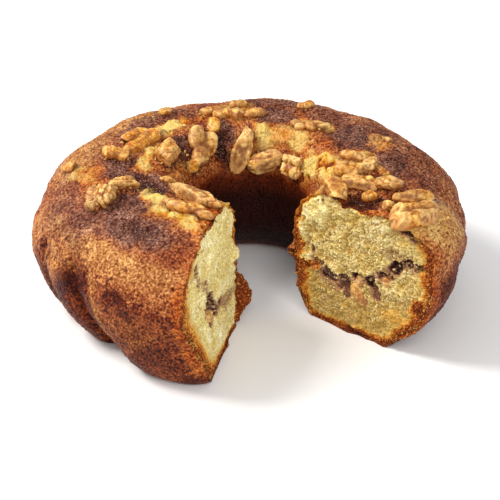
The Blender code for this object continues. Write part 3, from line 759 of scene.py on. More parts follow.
def crust_finish():
    """Golden crust, the marks' colours laid over it, painted highlights on its pebble tops, and painted shade
    in its hollows and between its pebbles.
    """
    look = Finish("baked_crust", roughness=0.45, specular=0.12)
    grain, pebble, lift = look.speckle(1.2), look.pebbled(1.25), look.mark("lift")
    # the pebbles' share makes every coat paler on the pebble tops: painted highlight
    both = look.weighed((grain, 0.34), (pebble, 0.26), (look.speckle(13, detail=4), 0.40))
    # the batter's colours also follow the relief's height: paler on its bumps and darker in its pits, as
    # painted light and shade
    lift_shade_and_speckle = look.weighed((lift, 0.45), (look.speckle(4.5, detail=4), 0.55))
    coats = (
        # the light coat also carries the painted highlight down the front petal's edge
        ("light", 1.0, both, (0.38, 204, 138, 60), (0.58, 255, 220, 140)),
        # the low brown also carries the painted shade in the valleys and on the narrow petal's shadowed side
        ("low", 1.0, both, (0.40, 64, 14, 0), (0.49, 108, 40, 12), (0.60, 168, 84, 38)),
        ("cinnamon", 1.0, both, (0.40, 88, 50, 40), (0.48, 124, 81, 66), (0.56, 159, 115, 95),
         (0.66, 214, 174, 150)),
        ("batter", 1.0, lift_shade_and_speckle, (0.34, 160, 76, 10), (0.45, 204, 130, 28), (0.56, 216, 166, 64),
         (0.72, 226, 198, 114)),
        ("orange", 0.7, both, (0.40, 140, 58, 12), (0.60, 224, 134, 50)),
        ("seared", 0.85, both, (0.40, 168, 70, 8), (0.60, 238, 146, 46)),
        ("sauce", 0.85, both, (0.40, 48, 18, 10), (0.50, 86, 42, 28), (0.64, 176, 124, 100)),
        # the collars: pooled caramel round each walnut, and painted contact shadow
        ("collar", 0.75, both, (0.40, 92, 38, 14), (0.60, 92, 38, 14)),
        # the hole's coat: browned crust and painted shade
        ("hole", 1.0, look.mark("hole", 0.5), (0.3, 160, 80, 26), (0.56, 112, 44, 10), (1.0, 48, 12, 2)),
    )
    colour = look.colours(both, (0.40, 132, 60, 26), (0.49, 178, 105, 54), (0.60, 230, 168, 106))
    for mark, weight, along, *stops in coats:
        colour = look.lay(look.mark(mark, weight, True), colour, look.colours(along, *stops))
    # painted shade: darker in the low places of the relief and between the pebbles
    shade = look.colours(lift, (0.1, 190, 160, 146), (0.42, 244, 238, 234), (0.7, 255, 255, 255))
    crevice_shade = look.colours(pebble, (0.04, 146, 104, 86), (0.3, 232, 222, 214), (0.48, 255, 255, 255))
    colour = look.lay(1.0, colour, shade, "MULTIPLY")
    colour = look.lay(look.calc("SUBTRACT", 1.0, look.mark("batter", 0.6)), colour, crevice_shade, "MULTIPLY")
    return look.done(colour, look.weighed((pebble, 0.9), (grain, 0.5)), strength=1, depth=0.9)


baked_crust = crust_finish()
print("finish:", baked_crust.name)

# %% [markdown]
# ## Cut edges of the crust
#
# At a cut the crust is a thin brown skin round the crumb. Its surface turns in at the
# cut, runs back behind it and closes there, so the crumb can sit inside like a slab in a
# shallow dish. The crust is made in six arcs that meet flat inside the cake, to keep
# each mesh light.

# %% Crust arcs
SKIN = 0.8
DISH_DEPTH = 8
DISH_SHARE = 0.94
SECTION_MIDDLE = (78, 40)


def step_inside(loop, side, distance):
    """A cut's outline moved in by a distance, within the cut."""
    row = CUT_ROW[side]
    inward = cut_inward(side, loop)
    normal = normals[row] - inward * (normals[row] * inward).sum(axis=-1, keepdims=True)
    return loop - normal / np.linalg.norm(normal, axis=-1, keepdims=True) * distance


def shrunk(loop, share):
    """A loop drawn towards its middle, so that it stays under the crust."""
    middle = loop.mean(axis=0)
    return middle + (loop - middle) * share


def turned_in(side):
    """The crust's inner edge at a cut, and the smaller loop behind it that closes the dish."""
    lip = step_inside(crust[CUT_ROW[side]], side, SKIN)
    return lip, shrunk(lip + cut_inward(side, lip) * DISH_DEPTH, DISH_SHARE)


for index, name in enumerate(ARCS):
    rows = np.arange(index * ARC_ROWS, (index + 1) * ARC_ROWS + 1)
    loops = crust[rows]
    if index == 0:
        loops, rows = np.concatenate([turned_in("right")[::-1], loops]), np.pad(rows, (2, 0), "edge")
    if index == len(ARCS) - 1:
        loops, rows = np.concatenate([loops, turned_in("left")]), np.pad(rows, (0, 2), "edge")
    arc_marks = {mark: values[rows] for mark, values in marks.items()}
    piece = make_tube(name, loops, baked_crust, arc_marks, ["cake"])
    print(name, len(piece.data.polygons), "faces")

# %% [markdown]
# ## The crumb
#
# A cut face is foam: bubbles of several sizes, sliced open. It is made as rings of
# points that shrink from the outline to the middle, pushed back wherever a noise runs
# high, which leaves round pores. Near the crust the crumb is browned, round the filling
# it is stained, and the filling itself lies in a groove.

# %% The filling's line at each cut
FILLING_RIGHT = (
    (46, 36), (54, 31.5), (61, 29.5), (69, 32), (77, 35.5), (85, 37), (92, 41), (98, 47), (104, 52),
    (112, 53),
)
FILLING_LEFT = (
    (50, 23), (58, 25), (66, 27), (72, 29), (76, 33), (78, 40), (80, 46), (87, 50), (91, 55), (92, 61),
)
FILLING_HALF = 3.0
FILLING_TIP = 0.35
FILLING_SWAY = 1.6


def filling_line(share, t):
    """Ring radius and height of the filling's middle line at shares of the way round.

    Each cut has its own line through ten points, and between the cuts one turns into the other.
    """
    knots = np.linspace(0, 1, len(FILLING_RIGHT))
    right, left = ([np.interp(t, knots, column) for column in np.array(line, float).T]
                   for line in (FILLING_RIGHT, FILLING_LEFT))
    blend = smooth(share, 0, 1)
    inner = np.maximum(4 * share * (1 - share), 0)
    radius, height = (first * (1 - blend) + last * blend for first, last in zip(right, left))
    sway = FILLING_SWAY * np.sin(5 * np.pi * share + 4 * t) * inner
    return radius - 5 * inner * (t - 0.3), height + sway


LINES = {side: [part[0] for part in filling_line(np.array([[share]]), np.linspace(0, 1, 60))]
         for side, share in (("right", 0.0), ("left", 1.0))}
print("filling at the right cut ends at radius, height:", [part[-1].round(1) for part in LINES["right"]])

# %% Crumb slabs
# Rows of ring radius, height, their half spreads, and depth in mm or strength. Widths of the baked rim go
# with the angle round the section's middle. A tear has a ring radius and a height to begin at, and a depth.
# Pores have a cell, a seed and a weight.
CRUMB_POINTS, CRUMB_RINGS = 640, 128
HOLLOWS = {
    "right": (
        (49, 36, 4.5, 3, 2.4), (56, 31, 5.5, 4, 2.8), (68, 31.5, 4.2, 3.2, 5), (66, 27, 5, 4, 1.7),
        (69, 23, 3.4, 3.4, 1.5), (59, 28, 5, 2, 1.8), (84, 36, 3.4, 3.6, 5.5), (88.5, 30.5, 3.6, 5, 1.6),
        (76, 36.5, 5, 2.6, 3), (93, 43, 5, 3, 2.4), (100.5, 50, 4.5, 3.6, 3.2), (107, 54, 4, 2.2, 2.4),
        (113, 54.5, 4, 2.2, 2.2), (45.5, 43, 1.5, 3, 2), (42, 32, 3, 2.5, 1.8), (109, 71, 9, 3.2, 2.6),
    ),
    "left": (
        (75, 35, 4.5, 3.5, 3.2), (79, 30, 7, 5.5, 4.5), (71, 26.5, 5, 3, 3), (63, 26.5, 5, 2, 2.4),
        (91, 59, 3, 4, 2.8), (89, 52, 2.5, 2.5, 2.6), (79, 47, 3, 1.5, 2), (106.4, 42, 1.8, 2.2, 1.8),
        (82, 67, 1.5, 3, 1.2),
    ),
}
BAKE_WIDTHS = {
    "right": (
        (-180, 9), (-170, 11), (-160, 9), (-150, 6), (-135, 5), (-110, 4.5), (-60, 5), (-52, 6), (-44, 8),
        (-20, 7), (0, 6), (8, 8.5), (18, 9), (27, 8), (35, 8), (42, 4), (60, 1.2), (130, 1), (165, 4),
        (180, 9),
    ),
    "left": (
        (-180, 1.5), (-120, 4), (-75, 7), (-50, 11), (-35, 14), (-10, 12), (15, 14), (45, 9), (75, 5),
        (110, 1), (180, 1.5),
    ),
}
HOLLOW_EDGE, SMEARED_EDGE = (0.7, 1.25), (0.6, 1.3)
PORES = ((2.7, 0, 0.6), (1.6, 10, 0.6), (1.0, 20, 0.5))
DEPTH_RANGE = (-5, 6.5)
CRUMB_OVERLAP, DISH_GAP, RIM_REACH = 0.15, 0.4, 1.6
RING_SPACING = 0.9
TEAR = {"right": (93, 48, 1.6), "left": (72, 44, 0.8)}
BUMP = {"middle": 34, "reach": 5, "top": 50, "peak": 40, "foot": 36, "proud": 4}
STAINS = {
    "right": (
        (109, 71, 10, 3.5, 1), (98, 57, 9, 4, 0.6), (60, 27, 10, 5, 0.8), (50, 34, 8, 5, 0.9),
        (88, 31, 4.5, 6, 0.7), (83, 78, 9, 3, 0.8),
    ),
    "left": (
        (50, 22, 14, 3.2, 1), (97, 59, 7, 3, 0.6),
    ),
}
SCORCHES = {
    "right": (
        (39, 32, 6, 5, 0.8), (46, 34, 5, 3, 0.7), (36.5, 43, 4, 4, 0.75), (101, 20, 9, 5, 0.3),
        (92, 80, 2.5, 5, 0.4), (117, 31, 6, 7, 1), (121, 62, 5, 14, 0.9),
    ),
    "left": (),
}
PLUMP = {"middle": (45, 68), "half": 11, "proud": 2}
CRUMB_SEED = {"right": 50, "left": 60}
COARSE = {"right": 1.0, "left": 0.5}
PLAIN_CRUMB = {}


def bubbles(across, up, cell, seed):
    """Round bubbles in a plane, one of random place and size in each square of side cell.

    The value is 1 at a bubble's middle and 0 outside it: sqrt(1 - (distance / radius)^2).
    """
    x, y = across / cell, up / cell
    deep = 0.0
    for dx in (-1, 0, 1):
        for dy in (-1, 0, 1):
            i, j = np.floor(x).astype(np.int64) + dx, np.floor(y).astype(np.int64) + dy
            away = np.hypot(x - i - lattice_value(i, j, 0, seed), y - j - lattice_value(i, j, 0, seed + 1))
            deep = np.maximum(deep, 1 - (away / (0.2 + 0.5 * lattice_value(i, j, 0, seed + 2))) ** 2)
    return np.sqrt(deep)


def even_outline(loop, count):
    """The same closed outline with its points at even distances."""
    closed = np.concatenate([loop, loop[:1]])
    length = np.concatenate([[0], np.cumsum(np.linalg.norm(np.diff(closed, axis=0), axis=-1))])
    where = np.linspace(0, length[-1], count + 1)[:-1]
    return np.stack([np.interp(where, length, closed[:, axis]) for axis in range(3)], axis=-1)


def crumb_face(side):
    """Loops of a crumb slab from its back to the middle of its face, and its marks.

    The face is pushed back by bubbles of three sizes, by hollows along the filling and by
    a torn step, and its rim is ragged. How far it is browned in from the crust depends on
    the direction from the section's middle.
    """
    outline = even_outline(step_inside(crust[CUT_ROW[side]], side, SKIN - CRUMB_OVERLAP), CRUMB_POINTS)
    radius, height = polar(outline)[0], outline[:, 2]
    step = (np.linspace(0, 1, CRUMB_RINGS + 1)[:-1] ** RING_SPACING)[:, None]
    radius = radius * (1 - step) + SECTION_MIDDLE[0] * step
    height = height * (1 - step) + SECTION_MIDDLE[1] * step
    face = place(CUT_RIGHT if side == "right" else cut_left_azimuth(height), radius, height)
    edge = np.linalg.norm(face - face[0], axis=-1)
    line = np.hypot(radius[..., None] - LINES[side][0], height[..., None] - LINES[side][1]).min(axis=-1)
    seed, coarse = CRUMB_SEED[side], COARSE[side]
    wobble, small = noise(face, 4, seed + 4), noise(face, 1.3, seed + 5)

    pores = sum(weight * bubbles(radius, height, cell, seed + own) for cell, own, weight in PORES)
    pores = pores + 0.4 * small
    swell = 0.8 * noise(face, 9, seed + 3) + 0.5 * wobble
    swell = swell - 1.3 * smooth(noise(face, 7, seed + 6) + 0.2 * small, 0, 0.3)
    swell = swell - 0.7 * smooth(noise(face, 3.2, seed + 7) + 0.3 * small, 0.1, 0.35)
    where, low, deep = TEAR[side]
    tear = deep * smooth(radius + wobble * 2, where, where + 2.5) * smooth(height, low, low + 8)
    rim = np.exp(-edge / RIM_REACH) * (0.6 + 1.4 * wobble)
    hollow = patches(radius, height, HOLLOWS[side], 0.35 * wobble + 0.22 * small, HOLLOW_EDGE)
    plump = 0
    if side == "right":
        away = np.hypot(radius - PLUMP["middle"][0], height - PLUMP["middle"][1]) / PLUMP["half"]
        plump = 1 - smooth(away + 0.15 * wobble, 0.75, 1)
    depth = (coarse * (1.1 * pores + swell) - 0.4) * smooth(edge, 0, 1.5) * (1 - 0.6 * plump)
    depth = depth + rim + hollow + tear - PLUMP["proud"] * plump * smooth(edge, 0, 3)
    if side == "left":
        rise = np.clip((BUMP["top"] - height) / (BUMP["top"] - BUMP["peak"]), 0, 1)
        rise = rise * smooth(height, BUMP["foot"], BUMP["peak"])
        depth = depth - BUMP["proud"] * rise * np.exp(-((radius - BUMP["middle"]) / BUMP["reach"]) ** 2)
    face = face + cut_inward(side, face) * np.clip(depth, *DEPTH_RANGE)[..., None]
    back = shrunk(outline + cut_inward(side, outline) * (DISH_DEPTH - DISH_GAP), DISH_SHARE)
    loops = np.concatenate([[shrunk(back, 0.5), back], face])

    angle = np.degrees(np.arctan2(height - SECTION_MIDDLE[1], radius - SECTION_MIDDLE[0]))
    width = np.interp(angle, *np.array(BAKE_WIDTHS[side]).T)
    push = 0.3 * wobble + 0.25 * small
    bake = 1 - smooth((edge + wobble * 1.5 + small * 0.8) / width, 0, 1.5)
    stain = 1 - smooth(line + (wobble + 0.6 * small) * 2, 1, 5)
    # painted shade: the depth mark darkens the pores, the bottom half of each face and the whole right face
    low = coarse * 0.5 * (1 - smooth(height, 10, 48))
    marks = {
        "bake": np.maximum(bake, patches(radius, height, SCORCHES[side], push, SMEARED_EDGE)),
        "stain": np.maximum(stain, patches(radius, height, STAINS[side], push, SMEARED_EDGE)),
        "depth": np.clip(0.6 * pores - 1.15 + 1.55 * coarse + 0.12 * swell + low - 0.5 * plump, 0, 1),
        "hollow": np.clip(hollow / 3, 0, 1),
    }
    plain = (edge > 2) & (marks["bake"] < 0.3) & (marks["hollow"] < 0.1)
    PLAIN_CRUMB[side] = face[plain], np.broadcast_to(1 - step, plain.shape)[plain]
    order = -1 if side == "left" else 1
    marks = {mark: np.pad(values, ((2, 0), (0, 0)), "edge")[:, ::order] for mark, values in marks.items()}
    return loops[:, ::order], marks


def crumb_finish():
    """Pale yellow foam with painted shade, darker yellow in the pores, towards the bottom and on the right
    face and nearly black in the hollows; a browned rim and stains beside the filling.
    """
    look = Finish("yellow_crumb", roughness=0.75, specular=0.15)
    fine = look.speckle(1, detail=3, rough=0.7)
    both = look.weighed((fine, 0.6), (look.speckle(9, detail=3), 0.4))
    pale = look.colours(both, (0.38, 206, 180, 92), (0.5, 236, 220, 148), (0.61, 255, 252, 212))
    # painted shade: darker yellow where the depth mark is high
    colour = look.lay(look.mark("depth", 0.85), pale, tone(168, 126, 46))
    stain = look.colours(fine, (0.35, 86, 46, 34), (0.5, 140, 92, 66), (0.65, 198, 152, 108))
    colour = look.lay(look.mark("stain", 0.8), colour, stain)
    # painted shade: the hollows along the filling darken to nearly black
    pit = look.weighed((look.mark("hollow"), 1.0), (fine, 1.8), start=-0.9)
    hollow_shade = look.colours(pit, (0.15, 190, 146, 104), (0.5, 124, 80, 60), (0.9, 44, 22, 16))
    colour = look.lay(look.mark("hollow", 3.0, True), colour, hollow_shade)
    baked = look.calc("MULTIPLY", look.mark("bake"), look.weighed((fine, 3.4), start=-0.7), clamp=True)
    brown = look.colours(baked, (0.15, 222, 184, 92), (0.45, 206, 136, 44), (0.7, 160, 78, 22),
                         (0.95, 98, 38, 12))
    colour = look.lay(look.calc("MULTIPLY", baked, 2.2, clamp=True), colour, brown)
    return look.done(colour, look.speckle(0.7), strength=0.6, depth=0.5)


yellow_crumb = crumb_finish()
for side in ("right", "left"):
    loops, crumb_marks = crumb_face(side)
    piece = make_tube("crumb_" + side, loops, yellow_crumb, crumb_marks, ["cake"])
    print(piece.name, len(piece.data.polygons), "faces")

# %% [markdown]
# At the foot of the left cut a strip of the hole's crust was left hanging when the cake
# was torn apart. It is a thin closed sheet that goes on along the hole's wall past the cut
# and narrows to a tip, with its crumb side towards the reader.

# %% Torn strip of crust
STRIP_TOP = ((252, 28.5), (254, 27.1), (258, 25.7), (263, 23.6), (266.7, 21.4), (272.3, 17))
STRIP_FOOT = ((252, 0.2), (258, 0.3), (261.1, 3.1), (264.7, 7.2), (267.1, 9.8), (269.6, 12.5), (272.3, 16))
STRIP_ROWS, STRIP_COLUMNS = 110, 70
STRIP_HALF = 1.1
STRIP_CLODS = ((3, 91, 1), (1.5, 92, 0.7))
STRIP_FREE, STRIP_END = (256, 262), (273, 265)
STRIP_PALE = {"azimuth": 260, "height": 13, "half_round": 4, "half_up": 7}


def torn_strip():
    """Loops across the sheet at each azimuth: up its crumb side, then down its crust side."""
    azimuth = np.linspace(STRIP_TOP[0][0], STRIP_TOP[-1][0], STRIP_ROWS)[:, None]
    up = np.linspace(0, 1, STRIP_COLUMNS)
    ragged = noise(place(azimuth[:, 0], HOLE_RADIUS, 0 * azimuth[:, 0]), 1.6, 90)[:, None]
    foot = np.interp(azimuth, *np.array(STRIP_FOOT).T)
    top = np.interp(azimuth, *np.array(STRIP_TOP).T) + ragged * 0.8
    height = foot + (top - foot) * up
    wall = ring[-1][-(SECTION_POINTS["hole"] + SECTION_POINTS["inner_foot"]):]
    radius = np.interp(height, wall[::-1, 2], polar(wall)[0][::-1])
    middle = place(azimuth, radius, height)
    clods = layered(middle, STRIP_CLODS)
    half = STRIP_HALF * (0.35 + np.sqrt(np.sin(np.pi * up))) * smooth(azimuth, *STRIP_END) + 0.25
    bulge = half + clods * 0.9 * np.sin(np.pi * up)
    front = place(azimuth + 1.2 * clods * smooth(azimuth, *STRIP_FREE), radius + bulge, height)
    back = place(azimuth, radius - half, height)
    loops = np.concatenate([front, back[:, ::-1]], axis=1)
    bake = 0.4 + 0.5 * noise(middle, 4, 93) + 0.3 * smooth(up, 0.75, 1.0) + 0.2 * smooth(azimuth, 266, 272)
    bake = bake - 0.5 * np.exp(-((azimuth - STRIP_PALE["azimuth"]) / STRIP_PALE["half_round"]) ** 2
                               - ((height - STRIP_PALE["height"]) / STRIP_PALE["half_up"]) ** 2)
    bake = np.concatenate([bake, 1 + 0 * bake], axis=1)
    return loops, {"bake": np.clip(bake, 0, 1), "stain": 0.0, "depth": 0.4, "hollow": 0.0}


loops, strip_marks = torn_strip()
make_tube("torn_strip", loops[:, ::-1], yellow_crumb, strip_marks, ["cake"])
print("strip box in mm:", loops.min(axis=(0, 1)).round(1), loops.max(axis=(0, 1)).round(1))

# %% [markdown]
# ## The filling
#
# Cinnamon sugar and chopped nuts went into the batter as a layer, so in the baked cake
# it is a ribbon that runs right round the ring. Its section is a line through ten points
# with a thickness, carried from cut to cut. The ends are closed by shrinking the last
# loops towards the line, and the whole ribbon is roughened, so the ends look crumbled.

# %% Filling ribbon
FILLING_SIDE_POINTS = 150
FILLING_END_LOOPS = 9
FILLING_SHARE = 0.0085
FILLING_LOOPS = 90
FILLING_BULGE = 1.4
FILLING_CLODS = ((2.6, 70, 1), (1.3, 75, 0.5))


def filling_ribbon():
    """Loops of the ribbon: the line moved up and down by half its thickness, plus clods of noise."""
    bend = np.linspace(0, np.pi / 2, FILLING_END_LOOPS + 1)[1:]
    run = np.linspace(FILLING_SHARE, 1 - FILLING_SHARE, FILLING_LOOPS)
    share = np.pad(run, FILLING_END_LOOPS, "edge")[:, None]
    thick = np.concatenate([np.sin(bend), np.ones(len(run)), np.sin(bend)[::-1]])[:, None]
    bulge = np.concatenate([np.cos(bend), np.zeros(len(run)), -np.cos(bend)[::-1]])[:, None] * FILLING_BULGE
    t = np.linspace(0, 1, FILLING_SIDE_POINTS)
    line = np.stack(filling_line(share, t))
    slope = np.gradient(line, axis=2)[::-1] * np.array([1, -1])[:, None, None]
    half = FILLING_HALF * (FILLING_TIP + (1 - FILLING_TIP) * np.sqrt(np.sin(np.pi * t))) * thick
    off = half * slope / np.hypot(*slope)
    loop_r, loop_z = np.concatenate([line + off, (line - off)[..., ::-1]], axis=2)
    azimuth = CUT_RIGHT + (cut_left_azimuth(loop_z) - CUT_RIGHT) * share
    points = place(azimuth, loop_r, loop_z)
    points = points - cut_inward("right", points) * bulge[..., None]
    clods = np.stack([layered(points, FILLING_CLODS, axis) for axis in range(3)], axis=-1)
    near_ends = 1 - smooth(np.minimum(share, 1 - share), 0.01, 0.05)
    return points + clods * (0.35 + 0.5 * near_ends)[..., None]


def filling_finish():
    """Dark cinnamon paste with paler nut crumbs and glints of sugar."""
    look = Finish("cinnamon_filling", roughness=0.5, specular=0.5)
    colour = look.colours(look.speckle(1.6, detail=3), (0.35, 36, 16, 12), (0.5, 84, 46, 34),
                          (0.6, 128, 84, 64), (0.72, 196, 160, 128))
    return look.done(colour, look.speckle(0.8), strength=0.6, depth=0.5)


cinnamon_filling = filling_finish()
loops = filling_ribbon()
rows, columns = loops.shape[:2]
low_side = np.arange(FILLING_SIDE_POINTS - 1)
seam = np.stack([low_side, low_side + 1, columns - 2 - low_side, columns - 1 - low_side], axis=-1)
end = seam[:, ::-1] + (rows - 1) * columns
make_piece("cinnamon_layer", loops.reshape(-1, 3), [tube_faces(rows, columns), seam, end], cinnamon_filling,
           {}, ["filling"])
print("filling loops:", rows, "points in a loop:", columns)

# %% [markdown]
# ## Walnut pieces
#
# Chopped walnuts are lobes of a folded kernel, broken at flat faces. A piece is a ball
# whose reach in each direction is the farthest of a few spheres, cut back by planes.
# Folds are thin grooves where a noise passes through zero, which run like the creases of
# a real kernel. The skin stays dark in them, and broken faces are pale. Dips in the
# surface and the sides towards the crust are darkened as painted shade, and the crests
# lightened as painted highlight.

# %% Walnut forms


def lobe_grid(across, along, radius):
    """Lobes of one radius at every meeting of two lists of places."""
    return tuple((x, y, radius) for x in across for y in along)


# Lobes (x, y, radius) in a box two units long, number of broken faces, depth of the folds
FORMS = {
    "bean": (((-0.36, 0, 0.66), (0.32, 0.08, 0.68)), 3, 0.4),
    "crescent": (((-0.62, 0.3, 0.34), (-0.3, -0.02, 0.46), (0.05, -0.12, 0.52), (0.4, 0, 0.46),
                  (0.7, 0.3, 0.34)), 0, 0.4),
    "pair": (((-0.5, 0.05, 0.52), (0, -0.06, 0.5), (0.48, 0.08, 0.55)), 2, 0.45),
    "cluster": (((-0.75, 0.2, 0.28), (-0.48, -0.25, 0.3), (-0.15, 0.3, 0.32), (0.1, -0.25, 0.3),
                 (0.4, 0.25, 0.3), (0.72, -0.15, 0.28)), 0, 0.5),
    "fluted": (lobe_grid((-0.6, -0.2, 0.2, 0.6), (-0.78, -0.4, 0, 0.4, 0.78), 0.33), 3, 1.3),
    "half": (lobe_grid((-0.58, 0, 0.58), (-0.42, 0.42), 0.5), 3, 1.1),
    "heart": (((-0.38, -0.5, 0.55), (-0.38, 0.5, 0.55), (0.4, 0, 0.55)), 2, 0.8),
    "curl": (((-0.68, 0.28, 0.42), (-0.2, -0.2, 0.5), (0.25, 0.2, 0.5), (0.7, -0.2, 0.4)), 0, 0.7),
    "chunk": (((-0.3, -0.2, 0.75), (0.3, 0.2, 0.7), (0.1, -0.3, 0.6)), 7, 0.9),
    "rough": (lobe_grid((-0.55, 0, 0.55), (-0.48, 0.48), 0.52), 6, 1.4),
}
WALNUT_ROWS, WALNUT_COLUMNS = 44, 60
WALNUT_SPREAD = np.array([1.12, 1.14, 1.05])
LOBE_BLEND = 9
GROOVE_CELL, GROOVE_WIDTH = 5.2, 0.1
FLAKES = ((3.4, 9, 1, FOLD), (1.8, 10, 0.5, FOLD))
SOFT_STEPS = 4


def ball_directions(rows, columns):
    """Unit directions (-cos a, sin a sin b, sin a cos b), from one pole on the X axis to the other."""
    a = np.linspace(0, np.pi, rows + 2)[1:-1, None]
    b = np.linspace(0, 2 * np.pi, columns + 1)[None, :-1]
    return np.stack([-np.cos(a) + 0 * b, np.sin(a) * np.sin(b), np.sin(a) * np.cos(b)], axis=-1)


def walnut_reach(direction, form, seed):
    """Distance from the middle to the surface, and which of it is a broken face.

    A ray leaves sphere (c, r) at c.d + sqrt(r^2 - c.c + (c.d)^2), and the farthest lobe
    counts. A break is a plane, which a ray meets at h / (n.d), and the nearest counts.
    """
    draw = np.random.default_rng(seed)
    lobes, breaks, _ = FORMS[form]
    lobes, radii = np.array(lobes, float), np.array(lobes, float)[:, 2]
    lobes[:, 2] = draw.uniform(-0.08, 0.18, len(lobes))
    radii = radii * draw.uniform(0.92, 1.08, len(radii))
    along = direction @ lobes.T
    under = radii ** 2 - (lobes ** 2).sum(axis=1) + along ** 2
    leave = np.where(under > 0, along + np.sqrt(np.maximum(under, 0)), 0.15)
    whole = reach = np.log(np.exp(LOBE_BLEND * leave).sum(axis=-1)) / LOBE_BLEND
    for _ in range(breaks):
        normal = draw.normal(size=3)
        normal = normal / np.linalg.norm(normal)
        reach = np.minimum(reach, draw.uniform(0.55, 0.82) / np.maximum(direction @ normal, 0.05))
    broken = smooth(whole - reach, 0.0, 0.04)
    return reach * (1 + 0.06 * noise(direction + seed, 0.5, seed)), broken


FLUTE_PITCH = 3.6
SEED_STRIDE = 100


def softened(values, steps):
    """Mean of a grid's values over its neighbours up to some steps away in both directions."""
    padded = np.pad(values, ((steps, steps), (0, 0)), mode="edge")
    rows = sum(padded[k:k + len(values)] for k in range(2 * steps + 1)) / (2 * steps + 1)
    return sum(np.roll(rows, k, axis=1) for k in range(-steps, steps + 1)) / (2 * steps + 1)


def walnut_loops(form, seed, size, axes, middle):
    """A walnut piece's loops in place, with its marks, which paint shade in its dips and on its sides towards
    the crust, and highlights on its crests.

    The reach is stretched to the piece's size; then grooves exp(-(noise / width)^2) and
    grit are taken off along each ray.
    """
    direction = ball_directions(WALNUT_ROWS, WALNUT_COLUMNS)
    reach, broken = walnut_reach(direction, form, seed)
    unit = direction * reach[..., None]
    low, high = unit.min(axis=(0, 1)), unit.max(axis=(0, 1))
    local = (unit - (low + high) / 2) / (high - low) * np.array(size)
    where = local + seed * SEED_STRIDE
    bent = where + 0.8 * np.stack([noise(where, 5, k) for k in (1, 2, 3)], axis=-1)
    groove = np.exp(-(noise(bent, GROOVE_CELL, seed) / GROOVE_WIDTH) ** 2) * (1 - 0.6 * broken)
    if form == "fluted":
        groove = np.maximum(groove, np.exp(-(np.sin(np.pi * bent[..., 1] / FLUTE_PITCH) / 0.4) ** 2))
    grit = noise(where, 1.5, seed + 7) * (0.4 + 0.6 * broken)
    flakes = layered(where, FLAKES, seed) - 0.4
    off = FORMS[form][2] * (0.9 * groove - 0.5 * flakes) + 0.12 * grit
    off = off + 0.4 * broken * np.abs(noise(where, 2.4, seed + 12))
    local = local - direction * off[..., None]
    points = middle + local @ np.array(axes)
    skin = smooth(noise(where, 5, seed + 11), -0.1, 0.35) * (1 - 0.7 * broken)
    # painted shade and highlight: where the surface dips below its softened self the groove mark darkens it,
    # and where it stands above, the crests' mark lightens it
    reached = np.linalg.norm(local, axis=-1)
    dip = softened(reached, SOFT_STEPS) - reached
    # painted shade: the sides of a piece towards the crust are darker
    lower_side_shade = smooth(-2 * local[..., 2] / size[2] + 0.4 * noise(where, 6, seed + 13), -0.75, 0.35)
    return points, {"groove": np.maximum(0.8 * groove, smooth(dip, 0, 0.6)), "skin": skin, "broken": broken,
                    "crest_highlight": smooth(-dip, 0, 0.45), "side": lower_side_shade}


print("faces of one walnut piece:", WALNUT_ROWS * WALNUT_COLUMNS)

# %% Walnut finish


def walnut_finish():
    """Toasted kernel: flesh mottled from pale to golden, skin in the grooves and in patches, painted shade in
    the dips and on the sides towards the crust, and painted highlights on the crests.
    """
    look = Finish("toasted_walnut", roughness=0.42, specular=0.3)
    fine = look.speckle(0.9)
    both = look.weighed((look.speckle(3, detail=4), 0.65), (fine, 0.35))
    pale = look.colours(both, (0.40, 160, 92, 32), (0.49, 210, 152, 74), (0.59, 246, 212, 138))
    gold = look.colours(both, (0.40, 170, 86, 12), (0.49, 220, 150, 44), (0.59, 250, 202, 100))
    colour = look.lay(look.mark("toast"), pale, gold)
    # the crests' mark is painted highlight, the side mark painted shade, and the groove mark is skin in the
    # folds plus painted shade in the dips
    coats = (("skin", 0.5, (150, 98, 50)), ("broken", 0.25, (238, 208, 146)), ("crest_highlight", 0.2, (244, 216, 150)),
             ("side", 0.6, (158, 84, 22)), ("groove", 0.75, (122, 58, 14)))
    for mark, weight, over in coats:
        colour = look.lay(look.mark(mark, weight), colour, tone(*over))
    return look.done(colour, fine, strength=0.4, depth=0.3)


toasted_walnut = walnut_finish()
print("finish:", toasted_walnut.name)

# %% Walnuts on top
# How golden some of the pieces are, by their number; the others have LIGHTLY_TOASTED
LIGHTLY_TOASTED = 0.35
TOASTED = {1: 1, 2: 1, 3: 0.9, 4: 0.8, 5: 0.2, 6: 0.3, 7: 0.5, 8: 0.3, 9: 0.3, 10: 0.25, 11: 0.1, 12: 0.6,
           13: 1, 16: 0.9, 26: 0.9, 28: 0.8, 29: 0.9, 30: 0.4, 31: 0.9, 33: 0.6, 34: 0.8}
for index, (form, *_, length, width, height) in enumerate(WALNUTS):
    name = f"walnut_{index + 1:02d}"
    middle, axes = SEATS[index]
    size = np.array([length, width, height]) * WALNUT_SPREAD
    loops, walnut_marks = walnut_loops(form, index, size, axes, middle)
    walnut_marks["toast"] = TOASTED.get(index + 1, LIGHTLY_TOASTED)
    make_tube(name + "_kernel", loops, toasted_walnut, walnut_marks, [name])
print("walnut pieces on top:", len(WALNUTS))

